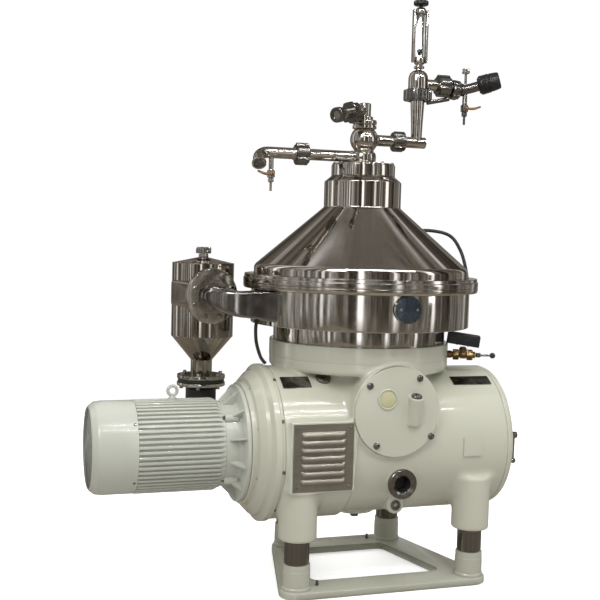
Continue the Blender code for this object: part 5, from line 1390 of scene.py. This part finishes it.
def flow_meter():
    at = Vector((RISER_X + 0.002, 0, 0))
    low = span("flow_meter_frame", 2)[0]
    foot = [(0, low), (0.0192, low), (0.0192, 1.8635), (0.0130, 1.8655), (0.0130, 1.8690),
            (0.0178, 1.8720), (0.0198, 1.8760), (0.0198, 1.8963), (0, 1.8963)]
    head = [(0, 2.0532), (0.0198, 2.0532), (0.0198, 2.0680), (0.0150, 2.0768), (0, 2.0768)]
    parts = [(lathe(foot, 56, 0.0012), at, None), (lathe(head, 56, 0.0014), at, None)]
    rail_x, rail = 0.0258, (0.0085, 0.0170, 0.193)
    for side in (-rail_x, rail_x):
        parts.append((block(rail, 0.0030), at + Vector((side, 0, 1.973)), None))
        for level in (1.8850, 2.0620):
            parts.append((socket_screw(0.0038, 0.0012), at + Vector((side, -0.0086, level)),
                          aim(FRONT)))
    show("meter_frame", merged(*parts), "pipe_steel", stands_for=["flow_meter_frame"])
    glass_tube = [(0.0124, 1.8968), (0.0150, 1.8968), (0.0150, 2.0527), (0.0124, 2.0527)]
    show("meter_tube", lathe(glass_tube, 56, 0.0006), "clear_glass", at,
         stands_for=["flow_meter_glass"])
    bob = [(0, 1.9052), (0.0035, 1.9052), (0.0062, 1.9080), (0.0100, 1.9205), (0.0100, 1.9250),
           (0.0070, 1.9260), (0, 1.9260)]
    show("meter_float", lathe(bob, 40, 0.0008), "black_plastic", at, body="flow_meter_float",
         stands_for=["flow_meter_float"])
    knob = [(0, 2.0773), (0.0062, 2.0773), (0.0062, 2.0855), (0, 2.0855)]
    grip = notched(0.0275, 0.004, 0.0165, 24, 0.05, 0.55, 0.0030, 6)
    crown = [(0, 2.0860), (0.0235, 2.0860), (0.0252, 2.0900), (0.0252, 2.1000), (0.0200, 2.1026),
             (0, 2.1029)]
    show("throttle_knob", merged((lathe(knob, 32, 0.0008), at, None), (grip, at + Z * 2.0942, None),
                                 (lathe(crown, 56, 0.0022), at, None)), "black_plastic",
         body="flow_meter_knob", stands_for=["flow_meter_knob"])


def feed_line():
    lower = [(0.0125, 1.200), (0.0150, 1.200), (0.0150, 1.350), (0.044, 1.350), (0.044, 1.358),
             (FEED_R, 1.362), (FEED_R, 1.6190), (0.0340, 1.6190), (0.0440, 1.6215),
             (0.0440, 1.6320), (0.0400, 1.6340), (0.0400, 1.6365), (0.0447, 1.6380),
             (0.0450, 1.6470), (0.0430, 1.6520), (0.0306, 1.6530), (0.0306, 1.6640),
             (FEED_R, 1.6675), (FEED_R, 1.7105), (FEED_R - 0.003, 1.7138), (0, 1.7138),
             (0, 1.7080), (0.0125, 1.7080)]
    start, end = Vector((0, 0, 1.689)), Vector((-0.152, -0.118, 1.650))
    heading, reach = (end - start).normalized(), (end - start).length
    branch = pipe([start + heading * 0.018, start + heading * (reach - 0.001)], PIPE_R - 0.002, 40)
    weld = torus(start + heading * 0.0225, 0.0195, 0.0016, heading.orthogonal().normalized(),
                 heading.cross(heading.orthogonal()).normalized(), 40, 8)
    show("feed_riser", merged(lathe(lower, 80, 0.0012), branch, weld), "pipe_steel",
         stands_for=["feed_pipe"])
    rim = lathe([(0.0135, -0.0280), (0.0215, -0.0280), (0.0270, -0.0190), (0.0270, 0.0020),
                 (0.0245, 0.0038), (0.0150, 0.0038), (0.0135, -0.0050)], 56, 0.0010)
    show("feed_mouth", rim, "dark_steel", end, aim(heading))
    show("feed_nut", union_nut(0.0385, 0.0190, 0.040), "dark_steel", start + heading * 0.098,
         aim(heading, 0.3))


# ---- hoses and operating water -------------------------------------------------------------
def hoses():
    duct_knots = [(-0.418, -0.100, 0.9325), (-0.4220, -0.098, 0.900), (-0.4180, -0.096, 0.850),
                  (-0.4020, -0.096, 0.800), (-0.3840, -0.098, 0.7755)]
    show("duct_hose", pipe(smooth_route(duct_knots, 12), 0.0060, 24), "black_rubber",
         stands_for=["duct_flush_hose"])
    angle = math.radians(25)
    slope = (NECK_BOTTOM - 1.114) / (0.379 - NECK_R)
    out = 0.262
    top = NECK_BOTTOM - (out - NECK_R) * slope + 0.0105
    start = Vector((out * math.cos(angle), out * math.sin(angle), top))
    lift = Vector((0.66 * math.cos(angle), 0.66 * math.sin(angle), 0.75))
    knots = [start, start + lift * 0.030, (0.330, 0.090, 1.258), (0.395, 0.068, 1.240),
             (0.431, 0.050, 1.187), (0.446, 0.030, 1.120), (0.450, 0.020, 1.060),
             (0.440, 0.015, 0.990), (0.4075, 0.012, 0.970)]
    show("hood_hose", pipe(smooth_route(knots, 12), 0.0065, 24), "black_rubber",
         stands_for=["hood_flush_hose"])
    nipple = lathe([(0, -0.012), (0.0085, -0.012), (0.0085, 0.004), (0.0100, 0.005),
                    (0.0100, 0.016), (0.0078, 0.018), (0, 0.018)], 32, 0.0008)
    last, end = Vector(knots[-2]), Vector(knots[-1])
    low = lathe([(0, 0), (0.0095, 0), (0.0095, 0.010), (0.0080, 0.022), (0, 0.022)], 32, 0.0008)
    show("hose_fittings", merged((nipple, start, aim(lift)), (low, end, aim(last - end))),
         "machined_steel")


def operating_water():
    angle = math.radians(-24)
    out = Vector((math.cos(angle), math.sin(angle), 0))
    turn = Quaternion(Z, angle) @ Quaternion(Y, 0.13)
    at = out * 0.385 + Z * 0.862
    ribs = [(block((0.0035, 0.0556, 0.0436), 0.0012), at + turn @ Vector((dx, 0, 0)), turn)
            for dx in (-0.022, 0.018)]
    lid = (block((0.1150, 0.0530, 0.0060), 0.0020), at + turn @ Vector((0, 0, 0.0188)), turn)
    show("solenoid_box", merged((block((0.1175, 0.0550, 0.0400), 0.0035), at, turn), lid, *ribs),
         "black_plastic", stands_for=["water_control_box"])
    start = out * (TOWER_R + 0.0012) + Z * 0.806
    valves = [(0, 0), (0.0135, 0), (0.0135, 0.014), (0.0110, 0.016), (0.0110, 0.044),
              (0.0145, 0.046), (0.0145, 0.066), (0.0110, 0.068), (0.0110, 0.093), (0.0125, 0.095),
              (0.0125, 0.0998), (0, 0.0998)]
    parts = [(lathe(valves, 48, 0.0008), start, aim(out))]
    for reach in (0.030, 0.080):
        parts.append((hex_head(0.037, 0.0215), start + out * (reach - 0.0107), aim(out)))
    parts.append((rod(0.0110, 0, 0.0290, 32, 0.0008),
                  start + out * 0.055, None))
    parts.append((hex_head(0.0270, 0.012), start + out * 0.055 + Z * 0.0125, None))
    show("brass_manifold", merged(*parts), "brass", stands_for=["water_manifold"])
    stem, reach = start + out * 0.1105, 0.052
    hub = lathe([(0, -0.0078), (0.0093, -0.0078), (0.0095, 0.0078), (0, 0.0078)], 32, 0.0014)
    arm = pipe([stem, stem + out * 0.02, stem + out * reach], 0.0042, 20, [1.0, 1.0, 0.8])
    show("water_lever", merged((hub, stem, None), arm), "dark_steel", body="water_cock_lever",
         stands_for=["water_cock_lever"])
    show("water_lever_ball", ball_of(0.0105, 28, 18), "black_plastic", stem + out * reach,
         body="water_cock_lever")


# ---- carried-over CAD nodes, floor, light and camera ---------------------------------------
def dress_cad_nodes():
    """Give every CAD node that stays in view the material of its slot."""
    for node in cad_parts.values():
        for held in node.material_slots:
            name = held.material.name.split(".")[0]
            held.material = LOOKS.get(name, LOOKS["machined_steel"])


def floor():
    look = Look("pale_floor")
    tone = look.mix(look.ramp(look.noise(1.2), 0.3, 0.7, 0.0, 1.0), rgb(0.86, 0.86, 0.85),
                    rgb(0.90, 0.90, 0.89))
    path = look.make("ShaderNodeLightPath").outputs
    tone = look.mix(path["Is Camera Ray"], rgb(0.50, 0.49, 0.47), tone)
    look.set(Base_Color=look.mix(path["Is Glossy Ray"], tone, rgb(0.22, 0.19, 0.15)),
             Emission_Color=rgb(1.0, 1.0, 1.0),
             Emission_Strength=look.math("MULTIPLY", path["Is Camera Ray"], 0.45),
             Roughness=look.ramp(look.noise(30.0), 0.3, 0.7, 0.65, 0.8),
             Normal=look.bump(look.noise(200.0), 0.0004, 0.2))
    bm = bmesh.new()
    half = 3.4
    bm.faces.new([bm.verts.new((x * half, y * half, -0.0005))
                  for x, y in ((-1, -1), (1, -1), (1, 1), (-1, 1))])
    mesh = bpy.data.meshes.new("floor")
    bm.to_mesh(mesh)
    bm.free()
    mesh.materials.append(look.material)
    made = bpy.data.objects.new("floor", mesh)
    bpy.context.scene.collection.objects.link(made)


def area_light(name, at, aim_at, size, power, colour=(1.0, 1.0, 1.0), mirrored=True):
    data = bpy.data.lights.new(name, "AREA")
    data.shape = "RECTANGLE"
    data.size, data.size_y = size
    data.energy, data.color = power, colour
    made = bpy.data.objects.new(name, data)
    made.location = AXIS + Vector(at)
    made.visible_glossy = mirrored
    made.rotation_mode = "QUATERNION"
    heading = AXIS + Vector(aim_at) - made.location
    made.rotation_quaternion = heading.to_track_quat("-Z", "Y")
    bpy.context.scene.collection.objects.link(made)


def surroundings():
    """White studio for the camera, with a dim workshop round it for the steel to reflect."""
    world = bpy.data.worlds.new("studio")
    bpy.context.scene.world = world
    world.use_nodes = True
    graph = Graph(world.node_tree)
    graph.tree.nodes.clear()
    make, math_node = graph.make, graph.math
    heading = make("ShaderNodeTexCoord").outputs["Generated"]
    parts = make("ShaderNodeSeparateXYZ", {0: heading}).outputs
    turn = math_node("ARCTAN2", parts[1], parts[0])
    place = make("ShaderNodeCombineXYZ", {0: turn, 1: 0.7,
                                          2: math_node("MULTIPLY", parts[2], 0.07)}).outputs[0]
    walls = make("ShaderNodeTexNoise", {"Vector": place, "Scale": 6.5, "Detail": 5.0,
                                        "Roughness": 0.74}).outputs[0]
    ramp = make("ShaderNodeValToRGB", {0: walls})
    wall_tones = ((0.36, (0.018, 0.016, 0.014, 1)), (0.45, (0.075, 0.066, 0.056, 1)),
                  (0.51, (0.19, 0.17, 0.14, 1)), (0.57, (0.36, 0.35, 0.33, 1)),
                  (0.64, (0.95, 0.95, 0.97, 1)))
    while len(ramp.color_ramp.elements) < len(wall_tones):
        ramp.color_ramp.elements.new(0.5)
    for element, (at, colour) in zip(ramp.color_ramp.elements, wall_tones):
        element.position, element.color = at, colour

    lamps = 0.0
    lamp_rows = ((-1.925, 0.060, 1.0), (-2.62, 0.035, 0.6), (-1.30, 0.030, 0.55),
                 (-0.52, 0.045, 0.7), (2.55, 0.060, 0.8))
    for azimuth, half_width, level in lamp_rows:
        away = math_node("ABSOLUTE", math_node("SUBTRACT", turn, azimuth))
        strip = graph.ramp(away, half_width, 0.55 * half_width, 0.0, 1.0)
        lamps = math_node("ADD", math_node("MULTIPLY", strip, level), lamps)

    def by_height(low, high, under, over):
        """One colour below a height of the room and another above it."""
        return graph.mix(graph.ramp(parts[2], low, high, 0.0, 1.0), under, over)

    lit_walls = graph.mix(lamps, ramp.outputs[0], (2.3, 2.3, 2.3, 1))
    roof = by_height(0.86, 0.99, lit_walls, (0.19, 0.175, 0.155, 1))
    hall = by_height(-0.35, -0.10, (0.16, 0.138, 0.112, 1), roof)
    sky = by_height(-0.15, 0.65, (0.38, 0.38, 0.375, 1), (0.88, 0.88, 0.86, 1))
    dim, soft, white = (make("ShaderNodeBackground", {"Color": colour, "Strength": strength})
                        for colour, strength in ((hall, 1.0), (sky, 1.0), (rgb(1, 1, 1), 1.02)))
    path = make("ShaderNodeLightPath")
    lit = make("ShaderNodeMixShader", {0: path.outputs["Is Diffuse Ray"], 1: dim.outputs[0],
                                       2: soft.outputs[0]})
    mixed = make("ShaderNodeMixShader", {0: path.outputs["Is Camera Ray"], 1: lit.outputs[0],
                                         2: white.outputs[0]})
    make("ShaderNodeOutputWorld", {0: mixed.outputs[0]})


def lights():
    area_light("key", (-2.3, -2.2, 3.1), (0, 0, 0.7), (1.2, 1.2), 34, (1.0, 0.985, 0.96))
    area_light("fill_right", (3.0, -2.2, 2.0), (0, 0, 0.8), (0.5, 1.8), 5)
    area_light("back_panel", (0.4, 3.2, 3.0), (0, 0, 0.2), (3.0, 2.0), 70, mirrored=False)
    area_light("floor_wash", (0, 0, 4.2), (0, 0, 0), (4.0, 4.0), 52, mirrored=False)
    for spot, (y, z, power) in enumerate(((-1.75, 2.6, 16), (-1.30, 3.0, 16))):
        area_light(f"strip_{spot + 1}", (0.2, y, z), (0.2, -0.1, 0.5), (2.6, 0.022), power)


def camera():
    """Standing view from the front left, slightly above the middle, level turned a little."""
    stand = Vector((-1.371, -3.493, 1.213))
    yaw, pitch, roll = math.radians(18.08), math.radians(-3.43), math.radians(1.50)
    ahead = Vector((math.sin(yaw) * math.cos(pitch), math.cos(yaw) * math.cos(pitch),
                    math.sin(pitch)))
    right = Vector((math.cos(yaw), -math.sin(yaw), 0))
    over = right.cross(ahead)
    turn = Matrix.Rotation(-roll, 3, ahead)
    right, over = turn @ right, turn @ over
    data = bpy.data.cameras.new("camera")
    data.lens, data.sensor_width = 60.93, 36.0
    made = bpy.data.objects.new("camera", data)
    basis = Matrix((right, over, -ahead)).transposed()
    made.matrix_world = Matrix.Translation(AXIS + stand) @ basis.to_4x4()
    bpy.context.scene.collection.objects.link(made)
    bpy.context.scene.camera = made
    bpy.context.scene.view_settings.view_transform = "Standard"


def build():
    for make_part in (base_frame, foot_dampers, housing, barrel_fittings, gear_cover,
                      louvre_panel, oil_port, end_cover, drive_bell, motor_shield, motor_stator,
                      motor_fan_cover, motor_eye, drum_skirt, sludge_drum, clamp_ring, hood,
                      cyclone, outlet_bodies, skim_outlet, cream_outlet, regulating_valve,
                      metered_outlet, flow_meter, feed_line, hoses, operating_water,
                      dress_cad_nodes, floor, surroundings, lights, camera):
        make_part()


build()
